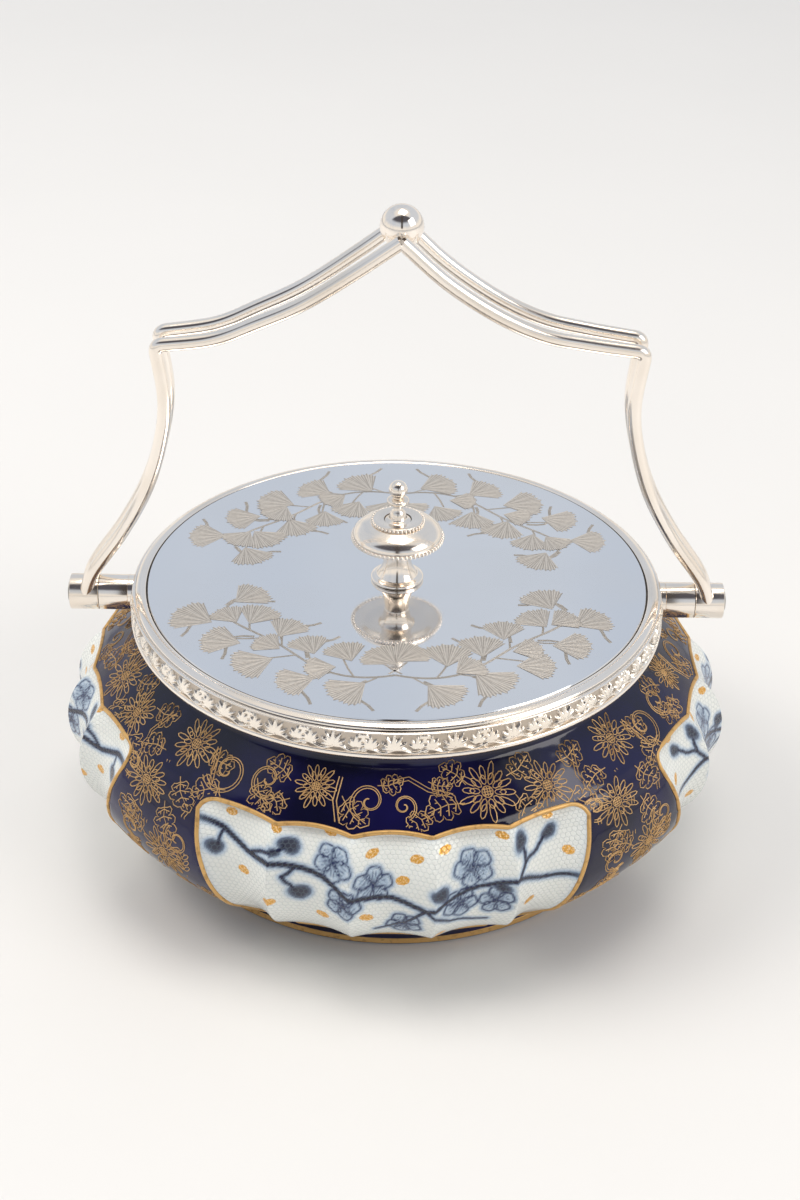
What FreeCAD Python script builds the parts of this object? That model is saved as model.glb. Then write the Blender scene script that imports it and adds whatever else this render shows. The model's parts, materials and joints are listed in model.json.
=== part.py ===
import FreeCAD, Part
import math
import os

import Sketcher
from FreeCAD import Placement, Rotation, Vector

# Driving sizes of the jar in millimetres and degrees; each one becomes a named spreadsheet cell
SIZES = {
    # pot: foot, belly, shoulder and neck of the ceramic piece
    "foot_rad": 65.0,
    "foot_inner_rad": 57.0,
    "foot_top": 4.0,
    "recess_depth": 2.0,
    "flute_half": 6.75,
    "flute_edge": 20.2,
    "panel_half": 36.0,
    "panel_top_z": 47.0,
    "panel_taper": 0.207,
    "lobe_depth": 3.1,
    "flute_most": 3.3,
    "neck_foot_rad": 68.2,
    "neck_foot_z": 57.2,
    "neck_rad": 66.8,
    "neck_z": 58.6,
    "mouth_rad": 62.2,
    "core_rad": 60.0,
    "cavity_arc": 10.8,
    "cavity_low_rad": 76.0,
    "cavity_low_z": 22.2,
    "cavity_top_rad": 76.4,
    "cavity_top_z": 40.2,
    "floor_rad": 58.0,
    "floor_z": 6.5,
    # collar
    "collar_foot_z": 62.0,
    "collar_top_z": 69.0,
    "collar_inner_rad": 68.3,
    "collar_rad": 69.1,
    "border_rad": 69.6,
    "border_low_z": 63.0,
    "border_high_z": 68.4,
    "ledge_inner_rad": 63.6,
    "ledge_low_z": 68.0,
    # bail pivots
    "pivot_z": 64.8,
    "barrel_rad": 4.75,
    "saddle_end": 71.0,
    "knuckle_split": 78.8,
    "knuckle_gap": 0.08,
    "barrel_end": 86.5,
    "pin_rad": 1.6,
    "pin_fit": 0.05,
    "pin_head_rad": 2.5,
    "pin_head": 0.5,
    # bail wires: points of one half, outward from the axis and upward from the base
    "wire_rad": 1.8,
    "wire_x_a": 82.7, "wire_z_a": 64.8,
    "wire_x_b": 79.7, "wire_z_b": 72.8,
    "wire_x_c": 71.2, "wire_z_c": 85.3,
    "wire_x_d": 64.3, "wire_z_d": 98.3,
    "wire_x_e": 60.0, "wire_z_e": 112.3,
    "wire_x_f": 58.6, "wire_z_f": 123.8,
    "corner_x": 60.2, "corner_z": 138.1,
    "bar_x_a": 46.0, "bar_x_b": 35.0, "bar_x_c": 23.5, "bar_x_d": 11.0,
    "bar_left_a": 140.2, "bar_left_b": 144.8, "bar_left_c": 150.4, "bar_left_d": 158.8,
    "bar_right_a": 140.3, "bar_right_b": 142.7, "bar_right_c": 148.0, "bar_right_d": 156.6,
    "apex_z": 166.9,
    "spread_low": 2.7,
    "spread_corner": 4.2,
    "spread_apex": 7.3,
    "ball_rad": 5.35,
    "ball_pin_rad": 1.0,
    "ball_z": 168.2,
    # lid
    "lid_z": 70.3,
    "lid_sheet": 1.0,
    "lid_flat_rad": 66.0,
    "lid_rad": 68.8,
    "lid_curve": 5.9,
    "flange_rad": 61.4,
    "flange_sheet": 1.0,
    "flange_foot_z": 61.0,
    # finial, heights above the lid
    "stud_rad": 2.0,
    "stud_low": 9.0,
    "stud_high": 6.0,
    "foot_ring_rad": 6.75,
    "foot_ring": 2.0,
    "foot_step_rad": 5.2,
    "waist_rad": 3.1,
    "waist_z": 8.9,
    "flare_rad": 4.85,
    "flare_z": 13.6,
    "cap_rad": 12.0,
    "cap_rim_z": 12.9,
    "cap_top_z": 17.3,
    "cap_top_rad": 6.2,
    "ring_rad": 7.0,
    "ring_bore": 4.4,
    "ring_high": 0.9,
    "spindle_rad": 3.4,
    "spindle_neck_rad": 1.15,
    "collar_disc_rad": 2.85,
    "collar_disc_z": 23.3,
    "knob_rad": 2.45,
    "knob_z": 26.5,
    "knob_seat_angle": -59.0,
    "washer_rad": 5.0,
    "washer_thick": 0.8,
    "nut_flats": 7.0,
    "nut_thick": 3.0,
}

# pot: height, ridge radius and flute depth of each level of the belly, from foot to neck
LEVELS = [
    (4.0, 65.0, 0.0), (7.0, 69.0, 0.9), (10.0, 73.0, 1.6), (15.3, 80.0, 2.3), (20.0, 85.2, 2.9),
    (26.0, 88.2, 3.2), (31.3, 89.0, 3.3), (37.0, 88.1, 3.2), (42.0, 85.65, 2.9), (45.0, 83.05, 2.5),
    (47.0, 81.0, 1.2), (48.4, 79.3, 0.0), (53.0, 73.5, 0.0), (57.2, 68.2, 0.0),
]
for letter, level in zip("abcdefghijklmn", LEVELS):
    for what, number in zip(("z", "rad", "flute"), level):
        SIZES["level_%s_%s" % (what, letter)] = number

os.makedirs("parts", exist_ok=True)
doc = FreeCAD.newDocument("biscuit_jar")
sheet = doc.addObject("Spreadsheet::Sheet", "sizes")
for row, (alias, number) in enumerate(SIZES.items(), start=1):
    sheet.set("A%d" % row, alias)
    sheet.set("B%d" % row, str(number))
    sheet.setAlias("B%d" % row, alias)
doc.recompute()


class Size:
    """A number together with the spreadsheet formula that gives it."""

    def __init__(self, value, text):
        self.value = value
        self.text = text

    def __add__(self, other):
        other = as_size(other)
        return Size(self.value + other.value, "(%s + %s)" % (self.text, other.text))

    def __sub__(self, other):
        other = as_size(other)
        return Size(self.value - other.value, "(%s - %s)" % (self.text, other.text))

    def __mul__(self, factor):
        return Size(self.value * factor, "(%s * %s)" % (self.text, factor))


def as_size(item):
    """A cell name, a plain number or a Size, as a Size."""
    if isinstance(item, Size):
        return item
    if isinstance(item, str):
        return Size(float(sheet.get(item)), "sizes." + item)
    return Size(float(item), str(item))


def bind(thing, prop, item):
    """Set a property from a Size and keep it bound to the sheet."""
    thing.setExpression(prop, as_size(item).text)


def arc_between(start, end, radius, side):
    """Arc through two points, bowing right of the way it runs for side 1 and left for -1."""
    chord = end - start
    half = chord.Length / 2
    normal = Vector(-chord.y, chord.x, 0).normalize()
    centre = (start + end) * 0.5 + normal * side * math.sqrt(radius * radius - half * half)
    first = math.atan2(start.y - centre.y, start.x - centre.x)
    last = math.atan2(end.y - centre.y, end.x - centre.x)
    swapped = side < 0
    if swapped:
        first, last = last, first
    return Part.ArcOfCircle(Part.Circle(centre, Vector(0, 0, 1), radius), first, last), swapped


def outline(sketch, corners):
    """Closed outline of (radius, height) corners; a third and fourth item bow the next side."""
    points = []
    for corner in corners:
        points.append(Vector(as_size(corner[0]).value, as_size(corner[1]).value, 0))
    starts, ends = [], []
    for index, corner in enumerate(corners):
        here = points[index]
        there = points[(index + 1) % len(points)]
        if len(corner) == 2:
            sketch.addGeometry(Part.LineSegment(here, there), False)
            starts.append((index, 1))
            ends.append((index, 2))
            continue
        radius = as_size(corner[2])
        arc, swapped = arc_between(here, there, radius.value, corner[3])
        sketch.addGeometry(arc, False)
        starts.append((index, 2 if swapped else 1))
        ends.append((index, 1 if swapped else 2))
    for index, corner in enumerate(corners):
        following = starts[(index + 1) % len(corners)]
        sketch.addConstraint(Sketcher.Constraint("Coincident", *ends[index], *following))
        if len(corner) > 2:
            number = sketch.addConstraint(
                Sketcher.Constraint("Radius", index, as_size(corner[2]).value))
            bind(sketch, "Constraints[%d]" % number, corner[2])
        for kind, axis, item in (("DistanceX", -2, corner[0]), ("DistanceY", -1, corner[1])):
            size = as_size(item)
            if size.value == 0:
                sketch.addConstraint(Sketcher.Constraint("PointOnObject", *starts[index], axis))
                continue
            number = sketch.addConstraint(
                Sketcher.Constraint(kind, -1, 1, *starts[index], size.value))
            bind(sketch, "Constraints[%d]" % number, size)


def origin_plane(body, role):
    for feature in body.Origin.OriginFeatures:
        if feature.Role == role:
            return feature


def turned(name, corners):
    """Body turned about the vertical axis from its outline."""
    body = doc.addObject("PartDesign::Body", name)
    body.Label = name
    sketch = body.newObject("Sketcher::SketchObject", name + "_outline")
    sketch.AttachmentSupport = [(origin_plane(body, "XZ_Plane"), "")]
    sketch.MapMode = "FlatFace"
    outline(sketch, corners)
    turning = body.newObject("PartDesign::Revolution", name + "_turning")
    turning.Profile = sketch
    turning.ReferenceAxis = (sketch, ["V_Axis"])
    turning.Angle = 360
    doc.recompute()
    return body


def above(item):
    """Height above the top of the lid."""
    return as_size("lid_z") + as_size(item)


def rod(name, radius, start, end, side):
    """Cylinder along X at pivot height, from start to end on one side of the jar."""
    piece = doc.addObject("Part::Cylinder", name)
    bind(piece, "Radius", radius)
    bind(piece, "Height", as_size(end) - as_size(start))
    piece.Placement = Placement(Vector(0, 0, 0), Rotation(Vector(0, 1, 0), 90 * side))
    bind(piece, "Placement.Base.x", as_size(start) * side)
    bind(piece, "Placement.Base.z", "pivot_z")
    return piece


def cut(name, base, tool):
    piece = doc.addObject("Part::Cut", name)
    piece.Base = base
    piece.Tool = tool
    return piece


def level_wire(letter):
    """Closed outline of the belly at one level: four tapered panels of five flutes, and the gaps."""
    height, radius, depth = [as_size("level_%s_%s" % (what, letter)).value
                             for what in ("z", "rad", "flute")]
    half, edge, panel = [as_size(item).value for item in ("flute_half", "flute_edge", "panel_half")]
    panel -= as_size("panel_taper").value * max(as_size("panel_top_z").value - height, 0)
    lobe = as_size("lobe_depth").value * depth / as_size("flute_most").value
    edges = []
    for quarter in range(4):
        turns = [-panel, -edge, -half, half, edge, panel, 90 - panel]
        for first, last in zip(turns, turns[1:]):
            hollow = 0 if last > panel else depth
            spots = []
            for turn, inward in ((first, 0), ((first + last) / 2, hollow), (last, 0)):
                angle = math.radians(turn + 90 * quarter)
                reach = radius - inward - lobe * (1 - math.cos(math.radians(4 * turn))) / 2
                spots.append(Vector(reach * math.cos(angle), reach * math.sin(angle), height))
            edges.append(Part.Arc(*spots).toShape())
    outline_wire = doc.addObject("Part::Feature", "belly_level_" + letter)
    outline_wire.Shape = Part.Wire(edges)
    return outline_wire


belly = doc.addObject("Part::Loft", "belly")
belly.Sections = [level_wire(letter) for letter in "abcdefghijklmn"]
belly.Solid = True
belly.Ruled = True
core = turned("core", [
    ("foot_inner_rad", 0),
    ("foot_rad", 0),
    ("foot_rad", "foot_top"),
    ("core_rad", as_size("foot_top") + 2),
    ("core_rad", as_size("neck_foot_z") - 2),
    ("neck_foot_rad", "neck_foot_z"),
    ("neck_rad", "neck_z"),
    ("neck_rad", "ledge_low_z"),
    (0, "ledge_low_z"),
    (0, "recess_depth"),
    (as_size("foot_inner_rad") - 1, "recess_depth"),
])
cavity = turned("cavity", [
    (0, "floor_z"),
    ("floor_rad", "floor_z"),
    ("cavity_low_rad", "cavity_low_z", "cavity_arc", 1),
    ("cavity_top_rad", "cavity_top_z"),
    ("mouth_rad", "neck_foot_z"),
    ("mouth_rad", as_size("ledge_low_z") + 5),
    (0, as_size("ledge_low_z") + 5),
])
blank = doc.addObject("Part::Fuse", "pot_blank")
blank.Base = belly
blank.Tool = core
pot_body = cut("pot_body", blank, cavity)

plaster_bed = turned("plaster_bed", [
    ("neck_rad", as_size("collar_foot_z") + 0.4),
    ("collar_inner_rad", as_size("collar_foot_z") + 0.4),
    ("collar_inner_rad", "ledge_low_z"),
    ("neck_rad", "ledge_low_z"),
])
collar_shell = turned("collar_shell", [
    ("collar_inner_rad", "collar_foot_z"),
    ("collar_rad", "collar_foot_z"),
    ("collar_rad", "collar_top_z"),
    ("ledge_inner_rad", "collar_top_z"),
    ("ledge_inner_rad", "ledge_low_z"),
    ("collar_inner_rad", "ledge_low_z"),
])
border_turned = turned("border_turned", [
    ("collar_rad", "border_low_z"),
    ("border_rad", "border_low_z"),
    ("border_rad", "border_high_z"),
    ("collar_rad", "border_high_z"),
])
lip_turned = turned("lip_turned", [
    ("collar_rad", "collar_foot_z"),
    (as_size("border_rad") + 0.1, "collar_foot_z"),
    (as_size("border_rad") + 0.3, as_size("collar_foot_z") + 0.45),
    (as_size("border_rad") + 0.1, "border_low_z"),
    ("collar_rad", "border_low_z"),
])
moulding_turned = turned("moulding_turned", [
    ("collar_rad", "border_high_z"),
    (as_size("border_rad") + 0.1, "border_high_z"),
    (as_size("border_rad") + 0.1, as_size("collar_top_z") - 0.4),
    (as_size("collar_rad") + 0.1, "collar_top_z"),
    ("collar_rad", "collar_top_z"),
])

# Lugs, pins and the barrels that turn on them
notch = doc.addObject("Part::MultiFuse", "lug_seats")
seats = []
made = []
for side, word in ((-1, "left"), (1, "right")):
    seats.append(rod("lug_seat_" + word, "barrel_rad", 60, "saddle_end", side))
    wall = doc.addObject("Part::Cylinder", "lug_wall_" + word)
    bind(wall, "Radius", "border_rad")
    bind(wall, "Height", 100)
    made.append(cut("lug_plate_" + word, seats[-1], wall))
    split = as_size("knuckle_split")
    fixed = rod("fixed_rod_" + word, "barrel_rad", "saddle_end", split, side)
    made.append(cut("lug_barrel_" + word, fixed, rod("fixed_bore_" + word, "pin_rad", 60, 100, side)))
    moving = rod("moving_rod_" + word, "barrel_rad", split + "knuckle_gap", "barrel_end", side)
    bore = rod("moving_bore_" + word, as_size("pin_rad") + "pin_fit", 60, 100, side)
    made.append(cut("bail_barrel_" + word, moving, bore))
    head = as_size("barrel_end") + "knuckle_gap"
    pin = doc.addObject("Part::MultiFuse", "pivot_pin_" + word)
    pin.Shapes = [rod("pin_shank_" + word, "pin_rad", "saddle_end", head, side),
                  rod("pin_head_" + word, "pin_head_rad", head, head + "pin_head", side)]
    made.append(pin)
notch.Shapes = seats
collar_border = cut("collar_border", border_turned, notch)
collar_lip = cut("collar_lip", lip_turned, notch)
collar_moulding = cut("collar_moulding", moulding_turned, notch)

ball = doc.addObject("Part::Sphere", "ball")
bind(ball, "Radius", "ball_rad")
bind(ball, "Placement.Base.z", "ball_z")
ball_pin = doc.addObject("Part::Cylinder", "ball_pin")
bind(ball_pin, "Radius", "ball_pin_rad")
bind(ball_pin, "Height", (as_size("spread_apex") - "wire_rad") * 2)
ball_pin.Placement = Placement(Vector(0, 0, 0), Rotation(Vector(1, 0, 0), 90))
bind(ball_pin, "Placement.Base.y", as_size("spread_apex") - "wire_rad")
bind(ball_pin, "Placement.Base.z", as_size("apex_z"))
bail_ball = doc.addObject("Part::Fuse", "bail_ball")
bail_ball.Base = ball
bail_ball.Tool = ball_pin
doc.recompute()


def wire_points(names, side, bank, low, high):
    """Points of one stretch of the bail, with its spread from the middle plane running evenly."""
    rows = [(as_size(x).value, as_size(z).value) for x, z in names]
    length = [0.0]
    for (x_a, z_a), (x_b, z_b) in zip(rows, rows[1:]):
        length.append(length[-1] + math.hypot(x_b - x_a, z_b - z_a))
    points = []
    for (x, z), travelled in zip(rows, length):
        spread = low + (high - low) * travelled / length[-1]
        points.append(Vector(side * x, bank * spread, z))
    return points


def smooth_run(points, count):
    """Short straight steps along a smooth curve through the points."""
    curve = Part.BSplineCurve()
    curve.interpolate(points)
    return curve.discretize(count)


def bail_wire(name, side, bank, word):
    """Half of one bail wire: leg, mitred corner and bar, cut off in the middle plane."""
    low, middle, high = [as_size(item).value for item in ("spread_low", "spread_corner", "spread_apex")]
    corner = ("corner_x", "corner_z")
    leg_names = [("wire_x_" + letter, "wire_z_" + letter) for letter in "abcdef"]
    bar_names = [("bar_x_" + letter, "bar_%s_%s" % (word, letter)) for letter in "abcd"]
    leg = smooth_run(wire_points(leg_names + [corner], side, bank, low, middle), 12)
    bar = smooth_run(wire_points([corner] + bar_names + [(0, "apex_z")], side, bank, middle, high), 12)
    beyond = bar[-1] + (bar[-1] - bar[-2]).normalize() * 4
    spine = Part.makePolygon(leg + bar[1:-1] + [beyond])
    ring = Part.Wire(Part.makeCircle(as_size("wire_rad").value, leg[0], leg[1] - leg[0]))
    solid = spine.makePipeShell([ring], True, False, 1)
    middle_block = Part.makeBox(40, 60, 80, Vector(0 if side < 0 else -40, -30, 120))
    barrel = Part.makeCylinder(as_size("barrel_rad").value, 20,
                               Vector(side * 70, 0, as_size("pivot_z").value), Vector(side, 0, 0))
    solid = solid.cut(middle_block).cut(barrel)
    piece = doc.addObject("Part::Feature", name)
    piece.Shape = max(solid.Solids, key=lambda part: part.Volume)
    return piece


for bank, place in ((-1, "front"), (1, "rear")):
    for side, word in ((-1, "left"), (1, "right")):
        made.append(bail_wire("bail_wire_%s_%s" % (place, word), side, bank, word))

# Lid with its flange and the turned finial
lid_under = as_size("lid_z") - "lid_sheet"
lid_disc = turned("lid_disc", [
    ("stud_rad", lid_under),
    (as_size("lid_rad") - 1.4, lid_under),
    (as_size("lid_rad") - 1.4, "collar_top_z"),
    ("lid_rad", "collar_top_z"),
    ("lid_rad", as_size("collar_top_z") + 0.6, "lid_curve", 1),
    ("lid_flat_rad", "lid_z"),
    ("stud_rad", "lid_z"),
])
lid_flange = turned("lid_flange", [
    (as_size("flange_rad") - "flange_sheet", "flange_foot_z"),
    ("flange_rad", "flange_foot_z"),
    ("flange_rad", lid_under),
    (as_size("flange_rad") - "flange_sheet", lid_under),
])
finial_foot = turned("finial_foot", [
    ("stud_rad", "lid_z"),
    (as_size("foot_ring_rad") - 0.4, "lid_z"),
    ("foot_ring_rad", above(0.5)),
    ("foot_ring_rad", above(1.5)),
    (as_size("foot_step_rad") + 0.3, above("foot_ring")),
    ("foot_step_rad", above(2.7), 6.5, -1),
    (as_size("waist_rad") + 0.2, above(6.6)),
    ("waist_rad", above("waist_z")),
    (0, above("waist_z")),
    (0, above("stud_high")),
    ("stud_rad", above("stud_high")),
])
finial_stem = turned("finial_stem", [
    (0, above("waist_z")),
    (as_size("waist_rad") + 0.2, above("waist_z"), 9, -1),
    ("flare_rad", above("flare_z")),
    (0, above("flare_z")),
])
finial_cap = turned("finial_cap", [
    (0, above("flare_z")),
    ("flare_rad", above("flare_z")),
    (as_size("cap_rad") - 1.6, above(12.6)),
    (as_size("cap_rad") - 0.5, above(12.3)),
    ("cap_rad", above("cap_rim_z")),
    ("cap_rad", above(13.6), 9.5, 1),
    ("cap_top_rad", above("cap_top_z")),
    (0, above("cap_top_z")),
])
finial_bead_ring = turned("finial_bead_ring", [
    ("ring_bore", above("cap_top_z")),
    (as_size("ring_rad") - 0.9, above("cap_top_z")),
    ("ring_rad", above(17.75)),
    (as_size("ring_rad") - 0.7, above("cap_top_z") + "ring_high"),
    ("ring_bore", above("cap_top_z") + "ring_high"),
])
finial_spindle = turned("finial_spindle", [
    (0, above("cap_top_z")),
    ("spindle_rad", above("cap_top_z")),
    (as_size("spindle_rad") - 1.1, above(18.3), 2.0, 1),
    ("spindle_neck_rad", above(20.6)),
    ("spindle_neck_rad", above("collar_disc_z") - 0.7),
    ("collar_disc_rad", above("collar_disc_z") - 0.3),
    ("collar_disc_rad", above("collar_disc_z") + 0.4),
    (as_size("spindle_neck_rad") + 0.05, above("collar_disc_z") + 0.9),
    (as_size("spindle_neck_rad") + 0.05, above(24.4)),
    (0, above(24.4)),
])
finial_knob = doc.addObject("Part::Sphere", "finial_knob")
bind(finial_knob, "Radius", "knob_rad")
bind(finial_knob, "Angle1", "knob_seat_angle")
bind(finial_knob, "Placement.Base.z", above("knob_z"))
finial_stud = doc.addObject("Part::Cylinder", "finial_stud")
bind(finial_stud, "Radius", "stud_rad")
bind(finial_stud, "Height", as_size("stud_low") + "stud_high")
bind(finial_stud, "Placement.Base.z", above(0) - "stud_low")
finial_washer = turned("finial_washer", [
    ("stud_rad", lid_under - "washer_thick"),
    ("washer_rad", lid_under - "washer_thick"),
    ("washer_rad", lid_under),
    ("stud_rad", lid_under),
])
nut_blank = doc.addObject("Part::Prism", "nut_blank")
nut_blank.Polygon = 6
bind(nut_blank, "Circumradius", as_size("nut_flats") * 0.57735)
bind(nut_blank, "Height", "nut_thick")
bind(nut_blank, "Placement.Base.z", lid_under - "washer_thick" - "nut_thick")
nut_bore = doc.addObject("Part::Cylinder", "nut_bore")
bind(nut_bore, "Radius", "stud_rad")
bind(nut_bore, "Height", 100)
finial_nut = cut("finial_nut", nut_blank, nut_bore)

pieces = [pot_body, plaster_bed, collar_shell, collar_border, collar_lip, collar_moulding] + made + [
    bail_ball, lid_disc, lid_flange, finial_foot, finial_stem, finial_cap, finial_bead_ring,
    finial_spindle, finial_knob, finial_stud, finial_washer, finial_nut]
doc.recompute()
for piece in pieces:
    piece.Label = piece.Name
    shape = piece.Shape
    if "Invalid" in piece.State or "Error" in piece.State or shape.isNull() or not shape.isValid():
        raise RuntimeError("%s did not build: %s" % (piece.Label, piece.State))
    print("%-24s %10.1f mm3  %s" % (piece.Label, shape.Volume, shape.BoundBox))
    shape.exportStep("parts/%s.step" % piece.Label)
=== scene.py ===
import json
import math
import random

import bmesh
import bpy
import numpy as np
from mathutils import Matrix, Vector


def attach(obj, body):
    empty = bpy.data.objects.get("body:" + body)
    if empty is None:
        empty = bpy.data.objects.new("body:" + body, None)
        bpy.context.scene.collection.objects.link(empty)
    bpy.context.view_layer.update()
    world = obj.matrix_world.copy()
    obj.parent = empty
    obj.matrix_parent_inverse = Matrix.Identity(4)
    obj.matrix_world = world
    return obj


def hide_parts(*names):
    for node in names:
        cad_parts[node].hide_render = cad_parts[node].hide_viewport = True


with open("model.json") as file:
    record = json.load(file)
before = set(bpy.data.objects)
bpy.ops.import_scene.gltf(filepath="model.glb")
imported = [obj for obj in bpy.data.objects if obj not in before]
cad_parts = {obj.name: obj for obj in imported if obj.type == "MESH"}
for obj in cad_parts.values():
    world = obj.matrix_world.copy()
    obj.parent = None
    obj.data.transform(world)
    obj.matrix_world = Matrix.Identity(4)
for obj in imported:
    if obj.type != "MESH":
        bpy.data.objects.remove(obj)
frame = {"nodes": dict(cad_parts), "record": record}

bl_info = {
    "name": "Biscuit jar",
    "version": (1, 0, 0),
    "blender": (4, 5, 0),
    "location": "View3D > Sidebar > Jar",
    "description": "Fluted ceramic biscuit jar with a silver collar, engraved lid and wire bail",
    "category": "Object",
}

# Sizes in millimetres and degrees, as the solids have them
MM = 0.001
RIM_Z, LID_Z, PIVOT_Z = 68.0, 70.3, 64.8
SHOULDER_Z = 57.0
NECK_R, MOUTH_R, FLOOR_Z = 66.8, 62.2, 6.5
ARC_R, ARC_Z, ARC = 70.25, 31.3, 18.75
QUARTER = 90.0
FLUTE_HALF, FLUTE_EDGE, PANEL_HALF = 6.75, 20.2, 36.0
FLUTE_SIDES = np.array([-PANEL_HALF, -FLUTE_EDGE, -FLUTE_HALF, FLUTE_HALF, FLUTE_EDGE, PANEL_HALF])
PANEL_TAPER, PANEL_TOP_Z, PANEL_FOOT_Z = 0.207, 47.0, 7.0
SCALLOP_Z, SCALLOP_RISE = 46.7, 1.15
FLUTES_AT = [5.0, 7.0, 10.0, 15.3, 20.0, 26.0, 31.3, 37.0, 42.0, 46.0, 50.0]
FLUTE_DEPTHS = [0.0, 0.9, 1.6, 2.4, 3.0, 3.3, 3.4, 3.3, 3.0, 2.3, 1.6]
LOBES_AT = [5.0, 10.0, 20.0, 31.0, 42.0, 48.4]
LOBE_DEPTHS = [0.0, 1.5, 2.7, 3.1, 2.7, 0.0]
CELL, CELL_RATIO = 1.35, 1.732
SHOULDER_ARC, BELLY_ARC = 1.35, 1.5  # millimetres round the pot for each degree
SADDLE_END, KNUCKLE_SPLIT, KNUCKLE_GAP, BARREL_END, BARREL_R = 71.0, 78.8, 0.08, 86.5, 4.75
BORDER_R, BORDER_TOP_Z, BORDER_TALL, BORDER_LEAVES = 69.2, 68.95, 6.0, 30
BORDER_PERIOD = 14.58
BAIL_CORNER, BAIL_TOP_Z = (60.2, 138.1), 166.9
SPREAD_LOW, SPREAD_MIDDLE, SPREAD_TOP = 2.7, 4.2, 7.3
BALL_R, BALL_Z, CROSS_PIN_R, CROSS_PIN = 5.35, 168.2, 1.3, 11.2
WREATH_R = 46.5


# Shader maths: one wrapper for a socket, so that expressions add their own nodes
class Socket:
    def __init__(self, tree, link):
        self.tree, self.link = tree, link

    def math(self, operation, other=None):
        return self.tree.node("ShaderNodeMath", {"operation": operation}, [self, other])

    def __add__(self, other):
        return self.math("ADD", other)

    def __mul__(self, other):
        return self.math("MULTIPLY", other)

    def __sub__(self, other):
        return self.math("SUBTRACT", other)

    def __rsub__(self, other):
        return self.tree.node("ShaderNodeMath", {"operation": "SUBTRACT"}, [other, self])

    __radd__ = __add__
    __rmul__ = __mul__

    def above(self, edge, width):
        """Soft step: 0 below the edge, 1 above it."""
        settings = {"interpolation_type": "SMOOTHSTEP", "clamp": True}
        return self.tree.node("ShaderNodeMapRange", settings, [self, edge - width, edge + width])


class Tree:
    """The shader nodes of a material or of the world."""

    def __init__(self, owner, output="ShaderNodeOutputMaterial"):
        owner.use_nodes = True
        self.owner, self.graph = owner, owner.node_tree
        self.nodes = self.graph.nodes
        self.nodes.clear()
        self.output = self.nodes.new(output)

    def wire(self, target, value):
        if isinstance(value, Socket):
            self.graph.links.new(value.link, target)
        elif value is not None:
            target.default_value = value

    def node(self, kind, settings=None, values=(), output=0):
        made = self.nodes.new(kind)
        for name, value in (settings or {}).items():
            setattr(made, name, value)
        pairs = values.items() if isinstance(values, dict) else enumerate(values)
        for key, value in pairs:
            self.wire(made.inputs[key], value)
        return Socket(self, made.outputs[output])

    def mix(self, factor, first, second):
        made = self.nodes.new("ShaderNodeMix")
        made.data_type = "RGBA"
        for key, value in ((0, factor), (6, colour(first)), (7, colour(second))):
            self.wire(made.inputs[key], value)
        return Socket(self, made.outputs[2])

    def place(self, source="Object"):
        made = self.nodes.new("ShaderNodeTexCoord")
        return Socket(self, made.outputs[source])

    def noise(self, scale, detail=2.0, at=None):
        values = {"Vector": at or self.place(), "Scale": scale, "Detail": detail}
        return self.node("ShaderNodeTexNoise", None, values)

    def bump(self, height, distance, strength):
        return self.node("ShaderNodeBump", None,
                         {"Height": height, "Distance": distance, "Strength": strength})

    def finish(self, **sockets):
        shader = self.nodes.new("ShaderNodeBsdfPrincipled")
        for name, value in sockets.items():
            self.wire(shader.inputs[name.replace("_", " ")], colour(value))
        self.graph.links.new(shader.outputs[0], self.output.inputs[0])
        return self.owner


def colour(value):
    """A three-number colour with full alpha; anything else as it is."""
    if isinstance(value, tuple) and len(value) == 3:
        return value + (1.0,)
    return value


def silver(name, base, rough, tarnish, shaded_hollows):
    """Polished plate with faint cloudy tarnish, and painted shade in the low parts of a relief where a
    piece has it.
    """
    tree = Tree(bpy.data.materials.new(name))
    cloud = tree.noise(38.0, 4.0).above(0.56, 0.16)
    tint = tree.mix(cloud * tarnish, base, (base[0] * 0.72, base[1] * 0.62, base[2] * 0.48))
    fine = tree.noise(900.0, 1.0)
    roughness = fine * 0.05 + (cloud * 0.10 + rough)
    if shaded_hollows:
        # Painted shade: the hollow attribute darkens the low parts of the relief to a brown, and also
        # makes them rougher.
        depth = tree.node("ShaderNodeAttribute", {"attribute_name": "hollow"}, (), "Fac")
        tint = tree.mix(depth, tint, (0.24, 0.175, 0.12))
        roughness = roughness + depth * 0.3
    scratches = tree.noise(420.0, 3.0)
    return tree.finish(Base_Color=tint, Metallic=1.0, Roughness=roughness,
                       Normal=tree.bump(scratches, 0.00001, 0.2))


def cobalt_glaze():
    tree = Tree(bpy.data.materials.new("cobalt_glaze"))
    pool = tree.noise(45.0, 3.0).above(0.5, 0.2)
    tint = tree.mix(pool, (0.0022, 0.0022, 0.015), (0.006, 0.005, 0.050))
    ripple = tree.noise(110.0, 2.0)
    return tree.finish(Base_Color=tint, Roughness=tree.noise(300.0) * 0.05 + 0.05, IOR=1.47,
                       Normal=tree.bump(ripple, 0.00030, 0.5))


def gilding():
    tree = Tree(bpy.data.materials.new("gilding"))
    wear = tree.noise(700.0, 3.0).above(0.60, 0.06)
    tone = tree.noise(90.0, 2.0)
    gold = tree.mix(tone, (0.56, 0.31, 0.10), (0.74, 0.47, 0.18))
    tint = tree.mix(wear * 0.35, gold, (0.22, 0.12, 0.05))
    return tree.finish(Base_Color=tint, Metallic=0.55, Roughness=wear * 0.2 + 0.38,
                       Normal=tree.bump(tree.noise(1100.0), 0.00004, 0.5))


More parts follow.
